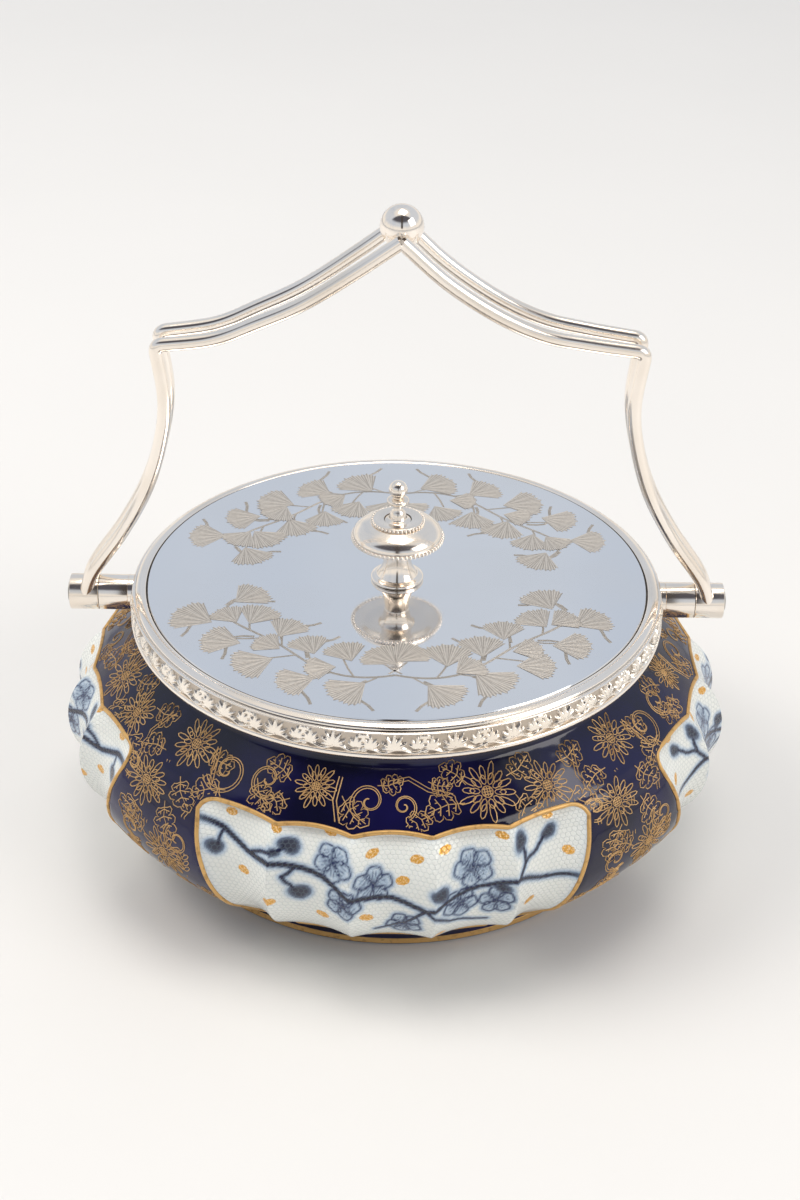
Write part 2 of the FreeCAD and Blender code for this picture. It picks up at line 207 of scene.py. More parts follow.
def panel_glaze():
    """White panel with rows of small six-sided cells, painted by its colour attribute."""
    tree = Tree(bpy.data.materials.new("panel_glaze"))
    paint = tree.nodes.new("ShaderNodeAttribute")
    paint.attribute_name = "paint"
    tint, gilt = Socket(tree, paint.outputs["Color"]), Socket(tree, paint.outputs["Alpha"])
    cells = tree.node("ShaderNodeSeparateXYZ", None, [tree.place("UV")])
    across = Socket(tree, cells.link)
    down = Socket(tree, cells.link.node.outputs[1])
    reach = []
    for shift in (0.0, 0.5):
        x = (across + shift).math("FRACT") - 0.5
        y = ((down + shift).math("FRACT") - 0.5) * CELL_RATIO
        x, y = x.math("ABSOLUTE"), y.math("ABSOLUTE")
        reach.append(x.math("MAXIMUM", x * 0.5 + y * 0.866))
    edge = reach[0].math("MINIMUM", reach[1])
    rib = edge.above(0.42, 0.09)
    tint = tree.mix(rib * 0.13, tint, (0.25, 0.40, 0.46))
    gilded = gilt.above(0.5, 0.25)
    speck = tree.noise(2600.0, 1.0).above(0.46, 0.05)
    worn_gold = tree.mix(speck, (0.86, 0.60, 0.30), (0.72, 0.36, 0.06))
    tint = tree.mix(gilded, tint, worn_gold)
    return tree.finish(Base_Color=tint, Roughness=gilt * 0.25 + 0.14, Metallic=gilded * 0.5,
                       Normal=tree.bump(1.0 - rib, 0.00014, 0.8))


def frosted_engraving():
    """Fine engraved lines fanning along each leaf."""
    tree = Tree(bpy.data.materials.new("frosted_engraving"))
    along = tree.node("ShaderNodeSeparateXYZ", None, [tree.place("UV")])
    lines = (along * 120.0).math("SINE")
    grain = tree.noise(1500.0, 2.0)
    tone = tree.mix(grain * 0.7 + lines * 0.45, (0.70, 0.65, 0.585), (0.36, 0.32, 0.28))
    return tree.finish(Base_Color=tone, Metallic=0.85, Roughness=grain * 0.15 + 0.42,
                       Normal=tree.bump(lines + grain, 0.00004, 0.8))


def plain(name, base, rough, scale, metallic):
    tree = Tree(bpy.data.materials.new(name))
    grain = tree.noise(scale, 4.0)
    tint = tree.mix(grain, base, tuple(part * 0.84 for part in base))
    return tree.finish(Base_Color=tint, Roughness=grain * 0.15 + rough, Metallic=metallic,
                       Normal=tree.bump(grain, 0.00005, 0.3))


# Silver finishes: colour, roughness, share of tarnish, and whether the low parts of a relief get painted
# shade
SILVERS = {
    "silver_plate": ((0.97, 0.90, 0.82), 0.08, 0.25, False),
    "collar_silver": ((0.97, 0.90, 0.81), 0.15, 0.3, True),
    "mirror_silver": ((0.87, 0.87, 0.875), 0.035, 0.05, False),
}
# Plain finishes: colour, roughness, scale of the grain and share of metal
PLAINS = {
    "line_gilding": ((0.60, 0.37, 0.155), 0.40, 800.0, 0.35),
    "plaster": ((0.80, 0.77, 0.70), 0.75, 400.0, 0.0),
    "pin_metal": ((0.50, 0.47, 0.43), 0.32, 600.0, 1.0),
    # Painted shade: near-black finish for the ring that stands for the shadow in the groove round the lid.
    "groove_shade": ((0.05, 0.04, 0.03), 0.7, 300.0, 0.0),
    "brass_fixings": ((0.70, 0.52, 0.24), 0.35, 500.0, 1.0),
}
OTHERS = {
    "cobalt_glaze": cobalt_glaze,
    "gilding": gilding,
    "panel_glaze": panel_glaze,
    "frosted_engraving": frosted_engraving,
}
MATERIALS = {}


def finish_named(name):
    """The material of this name, made when it is first asked for."""
    if name in SILVERS and name not in MATERIALS:
        MATERIALS[name] = silver(name, *SILVERS[name])
    elif name in PLAINS and name not in MATERIALS:
        MATERIALS[name] = plain(name, *PLAINS[name])
    elif name not in MATERIALS:
        MATERIALS[name] = OTHERS[name]()
    return MATERIALS[name]


# Making pieces
def piece(name, mesh, material, body, nodes=(), angle=35.0):
    """Links a finished mesh, smooths it and hangs it on its body."""
    thing = bpy.data.objects.new(name, mesh)
    bpy.context.scene.collection.objects.link(thing)
    mesh.materials.clear()
    mesh.materials.append(finish_named(material))
    mesh.polygons.foreach_set("use_smooth", [True] * len(mesh.polygons))
    mesh.set_sharp_from_angle(angle=math.radians(angle))
    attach(thing, body)
    if nodes:
        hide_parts(*nodes)
    return thing


def to_mesh(name, shape, outward=True):
    """Turns a finished bmesh into a mesh and frees it."""
    bmesh.ops.remove_doubles(shape, verts=shape.verts, dist=1e-7)
    if outward:
        bmesh.ops.recalc_face_normals(shape, faces=shape.faces)
    mesh = bpy.data.meshes.new(name)
    shape.to_mesh(mesh)
    shape.free()
    return mesh


def welded(mesh):
    """Closes the seam of a sheet that was bent round, and turns its faces outward."""
    shape = bmesh.new()
    shape.from_mesh(mesh)
    bmesh.ops.remove_doubles(shape, verts=shape.verts, dist=1e-6)
    bmesh.ops.recalc_face_normals(shape, faces=shape.faces)
    shape.to_mesh(mesh)
    shape.free()


def softened(points, rounds=2):
    """Corner-cut copy of an open outline, ends kept."""
    for _ in range(rounds):
        cut = [points[0]]
        for (r_a, z_a), (r_b, z_b) in zip(points, points[1:]):
            cut.append((r_a * 0.75 + r_b * 0.25, z_a * 0.75 + z_b * 0.25))
            cut.append((r_a * 0.25 + r_b * 0.75, z_a * 0.25 + z_b * 0.75))
        cut.append(points[-1])
        points = cut
    return points


def outlined(*stretches):
    """One outline of sharp and softened stretches by turns, sharp first."""
    points = []
    for number, stretch in enumerate(stretches):
        points += softened(stretch) if number % 2 else stretch
    return points


def arc(r, z, radius, turns):
    """A round stretch of an outline."""
    angles = [math.radians(turn) for turn in turns]
    return [(r + radius * math.cos(angle), z + radius * math.sin(angle)) for angle in angles]


def spun(outline, lift=0.0, steps=96):
    """A turned shape in millimetres from an outline of (radius, height), as a bmesh in metres."""
    shape = bmesh.new()
    last = None
    for radius, height in outline:
        vert = shape.verts.new((radius * MM, 0, (height + lift) * MM))
        if last:
            shape.edges.new((last, vert))
        last = vert
    bmesh.ops.spin(shape, geom=shape.verts[:] + shape.edges[:], axis=(0, 0, 1), cent=(0, 0, 0),
                   angle=2 * math.pi, steps=steps, use_merge=True)
    return shape


def tube(shape, path, radius, segments):
    """Extrudes a ring along a path of points in metres, mitred where it turns, with closed ends."""
    ring = []
    sides = [(b - a).normalized() for a, b in zip(path, path[1:])]
    up = Vector((0, 1, 0)) if abs(sides[0].y) < 0.9 else Vector((0, 0, 1))
    for number, spot in enumerate(path):
        before, after = sides[max(number - 1, 0)], sides[min(number, len(sides) - 1)]
        flat = (before + after).normalized()
        x = up.cross(before).normalized()
        up = before.cross(x).normalized()
        if not ring:
            made = bmesh.ops.create_circle(shape, segments=segments, radius=radius)
            ring = made["verts"]
            first = ring
        else:
            edges = {edge for vert in ring for edge in vert.link_edges
                     if edge.other_vert(vert) in ring}
            grown = bmesh.ops.extrude_edge_only(shape, edges=list(edges))
            made = {vert for vert in grown["geom"] if isinstance(vert, bmesh.types.BMVert)}
            ring = [next(edge.other_vert(vert) for edge in vert.link_edges
                         if edge.other_vert(vert) in made) for vert in ring]
        for turn, vert in enumerate(ring):
            angle = 2 * math.pi * turn / segments
            offset = (x * math.cos(angle) + up * math.sin(angle)) * radius
            vert.co = spot + offset - before * (offset.dot(flat) / before.dot(flat))
    shape.faces.new(first)
    shape.faces.new(ring)


def lines_mesh(name, lines, radius, roundness=0, closed=False):
    """Rods of one radius along rows of points in metres, as a mesh."""
    curve = bpy.data.curves.new(name, "CURVE")
    curve.dimensions = "3D"
    curve.bevel_depth = radius
    curve.bevel_resolution = roundness
    for line in lines:
        spline = curve.splines.new("POLY")
        spline.points.add(len(line) - 1)
        spline.points.foreach_set("co", [part for spot in line for part in (*spot, 1.0)])
        spline.use_cyclic_u = closed
    draft = bpy.data.objects.new(name, curve)
    bpy.context.scene.collection.objects.link(draft)
    graph = bpy.context.evaluated_depsgraph_get()
    mesh = bpy.data.meshes.new_from_object(draft.evaluated_get(graph))
    bpy.data.objects.remove(draft)
    bpy.data.curves.remove(curve)
    return mesh


def grid(name, columns, rows, spots):
    """A grid sheet whose points come from its 0..1 coordinates."""
    shape = bmesh.new()
    bmesh.ops.create_grid(shape, x_segments=columns, y_segments=rows, size=1.0)
    mesh = bpy.data.meshes.new(name)
    shape.to_mesh(mesh)
    shape.free()
    flat = np.empty(len(mesh.vertices) * 3)
    mesh.vertices.foreach_get("co", flat)
    flat = flat.reshape(-1, 3)
    across, down = flat[:, 0] / 2 + 0.5, 0.5 - flat[:, 1] / 2
    mesh.vertices.foreach_set("co", (spots(across, down) * MM).ravel())
    mesh.update()
    return mesh, across, down


def set_values(mesh, name, kind, values):
    """A named value or colour at every point of a mesh."""
    layer = mesh.attributes.new(name, kind, "POINT")
    layer.data.foreach_set("color" if "COLOR" in kind else "value", np.asarray(values).ravel())


# The pot's surface in millimetres: s runs down the outside from the neck, turn is in degrees
def outer_profile():
    neck = [(NECK_R, RIM_Z), (NECK_R, 58.9), (67.3, 57.9), (68.4, 57.0), (73.5, 53.0), (77.9, 49.5)]
    foot = [(73.0, 10.0), (68.6, 6.6), (65.6, 4.6), (65.0, 3.8), (65.0, 0.5), (64.5, 0.0)]
    return neck + arc(ARC_R, ARC_Z, ARC, np.arange(54.0, -58.1, -4.0)) + foot


PROFILE = np.array(outer_profile())
LENGTHS = np.concatenate([[0], np.cumsum(np.hypot(*np.diff(PROFILE, axis=0).T))])


def down_at(height):
    """How far down the outside a height is."""
    return np.interp(-np.asarray(height, float), -PROFILE[:, 1], LENGTHS)


def panel_half(s):
    """Angle from a panel's middle to its side, which draws in down the belly."""
    below = PANEL_TOP_Z - np.interp(s, LENGTHS, PROFILE[:, 1])
    return PANEL_HALF - PANEL_TAPER * np.clip(below, 0, None)


def lobe(turn, s):
    """Angle from the panel's middle, and 0 at a ridge to 1 in the middle of a flute."""
    local = (turn + QUARTER / 2) % QUARTER - QUARTER / 2
    size, half = np.abs(local), panel_half(s)
    first, second = size < FLUTE_HALF, size < FLUTE_EDGE
    low = np.where(first, -FLUTE_HALF, np.where(second, FLUTE_HALF, FLUTE_EDGE))
    high = np.where(first, FLUTE_HALF, np.where(second, FLUTE_EDGE, half))
    share = (size - (low + high) / 2) / ((high - low) / 2)
    return local, np.where(size < half, np.clip(1 - share * share, 0, 1), 0)


def panel_top(turn):
    """Height of the scalloped upper edge of a panel."""
    return SCALLOP_Z + SCALLOP_RISE * lobe(turn, down_at(PANEL_TOP_Z))[1]


def surface(turn, s, lift=0.0):
    """Points on the outside of the pot, lifted outward from it."""
    def along(step, axis):
        return np.interp(s + step, LENGTHS, PROFILE[:, axis])

    radius, height = along(0, 0), along(0, 1)
    ahead, drop = [along(0.4, axis) - along(-0.4, axis) for axis in (0, 1)]
    size = np.hypot(ahead, drop) + 1e-9
    bulge = lobe(turn, s)[1]
    depth = np.interp(height, FLUTES_AT, FLUTE_DEPTHS)
    exit_share = np.sqrt(np.clip((panel_top(turn) - height) / 1.8, 0, 1))
    lobing = np.interp(height, LOBES_AT, LOBE_DEPTHS)
    inward = depth * bulge * exit_share + lobing * (1 - np.cos(np.radians(4 * turn))) / 2
    reach = radius - inward - drop / size * lift
    angle = np.radians(turn)
    return np.stack([reach * np.cos(angle), reach * np.sin(angle), height + ahead / size * lift], -1)


def spot_on_pot(turn, s, lift=0.0):
    return Vector(surface(np.array([float(turn)]), np.array([float(s)]), lift)[0]) * MM


def narrowed(local, s):
    """A panel angle at its upper edge, drawn in to where the panel is at s."""
    share = (panel_half(s) - FLUTE_EDGE) / (PANEL_HALF - FLUTE_EDGE)
    outer = np.maximum(np.abs(local) - FLUTE_EDGE, 0) * share
    return np.sign(local) * (np.minimum(np.abs(local), FLUTE_EDGE) + outer)


def panel_border(local):
    """Where a panel starts and ends, down the outside, at an angle from its middle."""
    corner_size = 4.5
    corner = np.clip((np.abs(local) - PANEL_HALF + corner_size) / corner_size, 0, 1)
    rounding = corner_size * (1 - np.sqrt(1 - corner ** 2))
    return down_at(panel_top(local)) + rounding, down_at(PANEL_FOOT_Z) - rounding


# Flow-blue painting of a panel, in millimetres across and down from its upper edge
BRANCHES = [
    ([(-54, 6), (-45, 8), (-37, 11.5), (-27, 11), (-17, 13), (-9, 16.5), (0, 17), (8, 20)], 0.75),
    ([(8, 20), (15, 17), (24, 15.5), (31, 14.5), (38, 18), (46, 19), (54, 21)], 0.62),
    ([(-37, 11.5), (-31, 8.5), (-27, 7)], 0.5), ([(-24, 11.6), (-27, 14.5), (-24, 18)], 0.5),
    ([(31, 14.5), (33.5, 11), (33, 7.5)], 0.5), ([(33.5, 11), (37, 9.5), (40, 7.5)], 0.5),
    ([(8, 20), (4, 25), (-4, 29)], 0.45), ([(-45, 8), (-46, 12)], 0.45),
    ([(8, 20), (14, 25), (24, 28)], 0.45),
]
BUDS = [(-26, 6.2, 2.9, 2.1, 0.4), (-46.5, 13, 2.4, 1.8, 0.1), (-22.6, 18.4, 2.9, 2.0, -0.3),
        (32.6, 5.4, 1.7, 2.7, 0.2), (41.5, 6.4, 2.5, 1.7, -0.6), (11.5, 15.2, 2.2, 1.9, 0.3),
        (-29.5, 8.2, 1.5, 1.1, 0.2), (27, 16.5, 2.1, 1.4, 0.5)]
BLOSSOMS = [(-14.5, 8.5, 4.8, 0.3), (-4.5, 13.2, 4.6, 1.0), (-11.5, 18.5, 4.2, 0.1),
            (20, 10.5, 5.0, 0.6), (16.5, 19.5, 4.4, 0.2), (25.5, 20.5, 4.2, 0.9), (3, 26, 4.3, 0.5)]
SPOTS = [(-44, 2.6), (-30, 1.6), (-16, 0.8), (-5, 5.2), (6, 6.4), (13, 4.2), (28, 2.6), (42, 1.6),
         (46, 12.5), (2.5, 12.2), (-38, 17), (-30, 22), (-17, 24.5), (-6, 22.8), (35, 24), (12, 31)]
WHITE, FLOW_BLUE = np.array([0.80, 0.815, 0.775]), np.array([0.12, 0.28, 0.52])
INK_BLUE, BROWN = np.array([0.005, 0.014, 0.075]), np.array([0.010, 0.006, 0.018])
RIM_BLUE = np.array([0.34, 0.50, 0.70])


def from_line(x, y, points):
    """Distance of every point from a line of points."""
    best = np.full(x.shape, 1e9)
    for (x_a, y_a), (x_b, y_b) in zip(points, points[1:]):
        run = np.array([x_b - x_a, y_b - y_a], float)
        share = np.clip(((x - x_a) * run[0] + (y - y_a) * run[1]) / (run @ run), 0, 1)
        best = np.minimum(best, np.hypot(x - x_a - share * run[0], y - y_a - share * run[1]))
    return best


def wobbly(points, amount, rng):
    """The same line with more points, each a little off."""
    line = [points[0]]
    for (x_a, y_a), (x_b, y_b) in zip(points, points[1:]):
        for share in (0.33, 0.67, 1.0):
            line.append((x_a + (x_b - x_a) * share + rng.uniform(-amount, amount),
                         y_a + (y_b - y_a) * share + rng.uniform(-amount, amount)))
    return line


def painted(x, y):
    """Colour and gilt share of a panel at each point."""
    rng = random.Random(7)
    ink, halo, brown, gilt = (np.zeros(x.shape) for _ in range(4))

    def stroke(distance, width):
        np.maximum(ink, np.clip((width - distance) / 0.30 + 0.5, 0, 1), out=ink)
        np.maximum(halo, np.exp(-np.clip(distance - width, 0, None) ** 2 / 0.55), out=halo)

    for points, width in BRANCHES:
        distance = from_line(x, y, wobbly(points, 0.25, rng))
        stroke(distance, width)
        np.maximum(brown, np.clip((width - 0.1 - distance) / 0.3, 0, 1), out=brown)
    for bud_x, bud_y, wide, tall, turn in BUDS:
        right = (x - bud_x) * math.cos(turn) + (y - bud_y) * math.sin(turn)
        low = (y - bud_y) * math.cos(turn) - (x - bud_x) * math.sin(turn)
        angle = np.arctan2(low, right)
        edge = 1 + 0.08 * np.sin(3 * angle + bud_x)
        distance = (np.hypot(right / wide, low / tall) - edge) * min(wide, tall)
        stroke(np.clip(distance, 0, None), 0.05)
        np.maximum(brown, np.clip(0.2 - distance, 0, 1) * 0.9, out=brown)
    for flower_x, flower_y, size, turn in BLOSSOMS:
        for petal in range(5):
            angle = turn + petal * 2 * math.pi / 5
            petal_x = flower_x + math.cos(angle) * size * 0.58
            petal_y = flower_y + math.sin(angle) * size * 0.58
            out = np.hypot(x - petal_x, y - petal_y)
            ring = size * 0.42 * (1 + 0.05 * np.sin(5 * np.arctan2(y - petal_y, x - petal_x)))
            low_share = min(max((flower_y - 12) / 10, 0), 1)
            stroke(np.abs(out - ring), 0.21 + 0.06 * low_share)
            np.maximum(halo, (0.34 + 0.26 * low_share) * np.clip(ring - out + 0.6, 0, 1), out=halo)
            for side in (-0.42, -0.14, 0.14, 0.42):
                tip = (flower_x + math.cos(angle + side) * size * 0.72,
                       flower_y + math.sin(angle + side) * size * 0.72)
                stroke(from_line(x, y, [(flower_x, flower_y), tip]), 0.08)
        stroke(np.hypot(x - flower_x, y - flower_y), 0.6)
    for spot_x, spot_y in SPOTS:
        turn = rng.uniform(-0.7, 0.5)
        right = (x - spot_x) * math.cos(turn) - (y - spot_y) * math.sin(turn)
        low = (y - spot_y) * math.cos(turn) + (x - spot_x) * math.sin(turn)
        np.maximum(gilt, np.clip((1 - np.hypot(right / 1.75, low / 1.15)) * 4 + 0.5, 0, 1), out=gilt)
    tint = WHITE
    for tone, share in ((FLOW_BLUE, halo * 0.62), (INK_BLUE, ink), (BROWN, brown * 0.92)):
        tint = tint + (tone - tint) * share[:, None]
    return tint, gilt


def edge_blue(tint, distance):
    """Blue that has run along the panel's border."""
    share = np.exp(-np.clip(distance, 0, None) / 0.9)[:, None] * 0.55
    return tint + (RIM_BLUE - tint) * share


# Gilt line ornament, in millimetres across and down
def ring_points(x, y, wide, tall, turn, count):
    """Closed oval of count straight pieces round a point."""
    points = []
    for step in range(count + 1):
        angle = 2 * math.pi * step / count
        right, low = wide * math.cos(angle), tall * math.sin(angle)
        points.append((x + right * math.cos(turn) - low * math.sin(turn),
                       y + right * math.sin(turn) + low * math.cos(turn)))
    return points


def aster(x, y, size, turn):
    """Chrysanthemum: two rings of petals round a netted middle."""
    lines = [ring_points(x, y, size * 0.20, size * 0.20, 0, 12)]
    for petals, near, far, wide in ((14, 0.44, 1.0, 0.10), (10, 0.26, 0.66, 0.10)):
        for petal in range(petals):
            angle = turn + petal * 2 * math.pi / petals
            reach = far * (1 + 0.10 * math.sin(petal * 2.4 + turn))
            middle, half = (near + reach) / 2 * size, (reach - near) / 2 * size
            lines.append(ring_points(x + math.cos(angle) * middle, y + math.sin(angle) * middle,
                                     half, wide * size, angle, 8))
    for row in range(-1, 2):
        reach = size * 0.16
        lines.append([(x - reach, y + row * reach * 0.6), (x + reach, y + row * reach * 0.6)])
        lines.append([(x + row * reach * 0.6, y - reach), (x + row * reach * 0.6, y + reach)])
    return lines


def gilt_leaf(x, y, size, turn):
    """Deeply lobed leaf with a midrib and veins; it grows from its stalk at x, y."""
    size *= LEAF_SCALE

    def at(along, off):
        bend = off + 0.10 * math.sin(math.pi * along)
        return (x + size * (along * math.cos(turn) - bend * math.sin(turn)),
                y + size * (along * math.sin(turn) + bend * math.cos(turn)))

    half = [(0.0, 0.0), (0.02, 0.12), (0.0, 0.24), (0.10, 0.33), (0.22, 0.28), (0.27, 0.20), (0.26, 0.36),
            (0.36, 0.47), (0.50, 0.42), (0.54, 0.28), (0.58, 0.38), (0.70, 0.41), (0.80, 0.31),
            (0.80, 0.18), (0.92, 0.20), (1.05, 0.0)]
    lines = [[at(along, side * off) for along, off in half] for side in (1, -1)]
    lines.append([at(-0.2, 0), at(0.3, 0), at(0.95, 0)])
    for along, reach in ((0.06, 0.24), (0.28, 0.34), (0.52, 0.26), (0.72, 0.14)):
        for side in (-1, 1):
            lines.append([at(along, 0), at(along + 0.10, side * reach)])
            lines.append([at(along + 0.05, side * reach * 0.5), at(along + 0.14, side * reach * 0.55)])
    return lines


def scroll(x, y, size, turn, hand):
    """Double line that curls into a spiral."""
    lines, steps, vanishing, pitch = [], 34, 40, 0.27
    for gap in (0.0, 0.16):
        points = []
        for step in range(steps):
            angle = step * pitch
            reach = size * (1.0 - gap) * (1 - step / vanishing) ** 1.25
            points.append((x + reach * math.cos(turn + hand * angle),
                           y + reach * math.sin(turn + hand * angle)))
        lines.append(points)
    return lines


def sprig(x, y, size, turn):
    """Straight twig with three pairs of small leaves."""
    lines = [[(x, y), (x + math.cos(turn) * size, y + math.sin(turn) * size)]]
    for share in (0.35, 0.6, 0.85):
        for side in (-0.7, 0.7):
            middle = (x + math.cos(turn) * size * share, y + math.sin(turn) * size * share)
            lines.append(ring_points(middle[0] + math.cos(turn + side) * size * 0.2,
                                     middle[1] + math.sin(turn + side) * size * 0.2,
                                     size * 0.17, size * 0.07, turn + side, 8))
    return lines


def stem(points):
    """Double line of a bent stem."""
    lines = []
    for gap in (-0.45, 0.45):
        line = []
        for number, (x, y) in enumerate(points):
            x_a, y_a = points[max(number - 1, 0)]
            x_b, y_b = points[min(number + 1, len(points) - 1)]
            size = math.hypot(x_b - x_a, y_b - y_a)
            line.append((x - (y_b - y_a) / size * gap, y + (x_b - x_a) / size * gap))
        lines.append(line)
    return lines


ASTERS = [(24, 6.6, 7.2, 0.2), (40, 8.6, 6.2, 1.0), (-20, 5.2, 5.4, 0.5), (64.5, 5.0, 6.6, 0.4),
          (56.5, 20.5, 6.8, 0.1), (65.5, 37.0, 6.4, 0.7), (57, 54.0, 6.0, 0.3)]
LEAVES = [(16.0, 8.5, 7.4, 2.9), (31.5, 3.4, 6.6, -0.5), (31.5, 10.0, 6.6, 0.9), (18.0, 3.0, 6.0, 3.8),
          (46.5, 4.0, 6.8, -0.3), (45.5, 12.5, 7.6, 0.9), (36.0, 14.0, 5.0, 1.9), (-12.0, 8.0, 7.0, 0.7),
          (-28.0, 4.2, 6.4, 3.5), (-27.0, 10.0, 6.2, 2.4), (-35.0, 8.0, 6.4, 0.8), (-44.0, 12.5, 7.0, 2.6),
          (8.5, 11.0, 5.6, 2.5), (-3.0, 3.4, 5.0, -0.3), (10.0, 3.0, 4.6, 0.2), (66.5, 15.5, 7.4, 0.9),
          (55.0, 28.0, 7.2, 2.0), (64.5, 24.5, 7.0, 1.0), (58.5, 34.0, 6.4, 3.6), (56.0, 44.0, 6.4, 2.9),
          (68.0, 45.5, 6.8, 1.2), (64.0, 57.0, 6.4, 0.8),
          (47.5, 46.0, 6.0, 2.6), (75.0, 45.0, 6.0, 0.5), (47.5, 56.0, 5.8, 2.4), (75.5, 57.0, 5.8, 0.7),
          (71.0, 5.5, 6.4, 0.1), (56.0, 10.5, 6.2, 2.8)]
SCROLLS = [(-6.0, 7.4, 5.4, 2.0, 1), (2.6, 8.4, 3.6, 1.2, -1), (-33.0, 6.2, 5.6, 0.4, 1),
           (-44.5, 7.5, 6.6, 2.6, -1), (50.0, 19.0, 4.4, 1.4, 1), (70.0, 31.0, 4.6, 4.0, -1),
           (54.0, 36.0, 4.4, 0.8, 1), (70.5, 54.0, 4.0, 2.0, 1),
           (50.0, 63.0, 3.8, 1.0, 1), (73.0, 65.0, 3.6, 2.0, -1)]
STEMS = [[(-1, 2.6), (4, 1.6), (9, 4.6), (15, 6.4)], [(-14, 2.0), (-14.6, 8), (-13.2, 13)],
         [(-50, 3), (-47, 12), (-48.6, 20)], [(51.5, 2), (49, 9), (51, 15), (50, 24)],
         [(60, 12), (61.5, 22), (59.5, 31), (62, 44), (60.5, 60)], [(73.5, 16), (70.5, 24), (72, 34)]]
SPRIGS = [(62, 62, -1.5), (66, 60, -1.2), (58, 62, -1.9), (53, 47, -1.4), (72, 42, -1.6)]
SPRIG_SIZE, LEAF_SCALE = 7.5, 1.12


def ornament():
    """One quarter of the gilt ornament; across runs from a panel's middle, down from the shoulder."""
    lines = []
    for maker, places in ((aster, ASTERS), (gilt_leaf, LEAVES), (scroll, SCROLLS)):
        for place in places:
            lines += maker(*place)
    for points in STEMS:
        lines += stem(points)
    for x, y, turn in SPRIGS:
        lines += sprig(x, y, SPRIG_SIZE, turn)
    return lines


# Sizes and colours that a user may change
class JarSettings(bpy.types.PropertyGroup):
    wire_radius: bpy.props.FloatProperty(
        name="Bail wire", description="Radius of the bail wires", default=0.0018,
        min=0.001, max=0.003, subtype="DISTANCE", unit="LENGTH")
    bead_radius: bpy.props.FloatProperty(
        name="Finial beads", description="Radius of the beads round the finial cap",
        default=0.00056, min=0.0002, max=0.001, subtype="DISTANCE", unit="LENGTH")
    border_radius: bpy.props.FloatProperty(
        name="Gilt border", description="Radius of the raised gilt line round each panel",
        default=0.00062, min=0.0003, max=0.0015, subtype="DISTANCE", unit="LENGTH")
    relief: bpy.props.FloatProperty(
        name="Collar relief", description="Height of the embossed leaves on the collar",
        default=0.00105, min=0.0, max=0.0015, subtype="DISTANCE", unit="LENGTH")
    floor_colour: bpy.props.FloatVectorProperty(
        name="Floor", description="Colour of the plain floor", subtype="COLOR", size=3,
        default=(0.80, 0.79, 0.77), min=0.0, max=1.0)


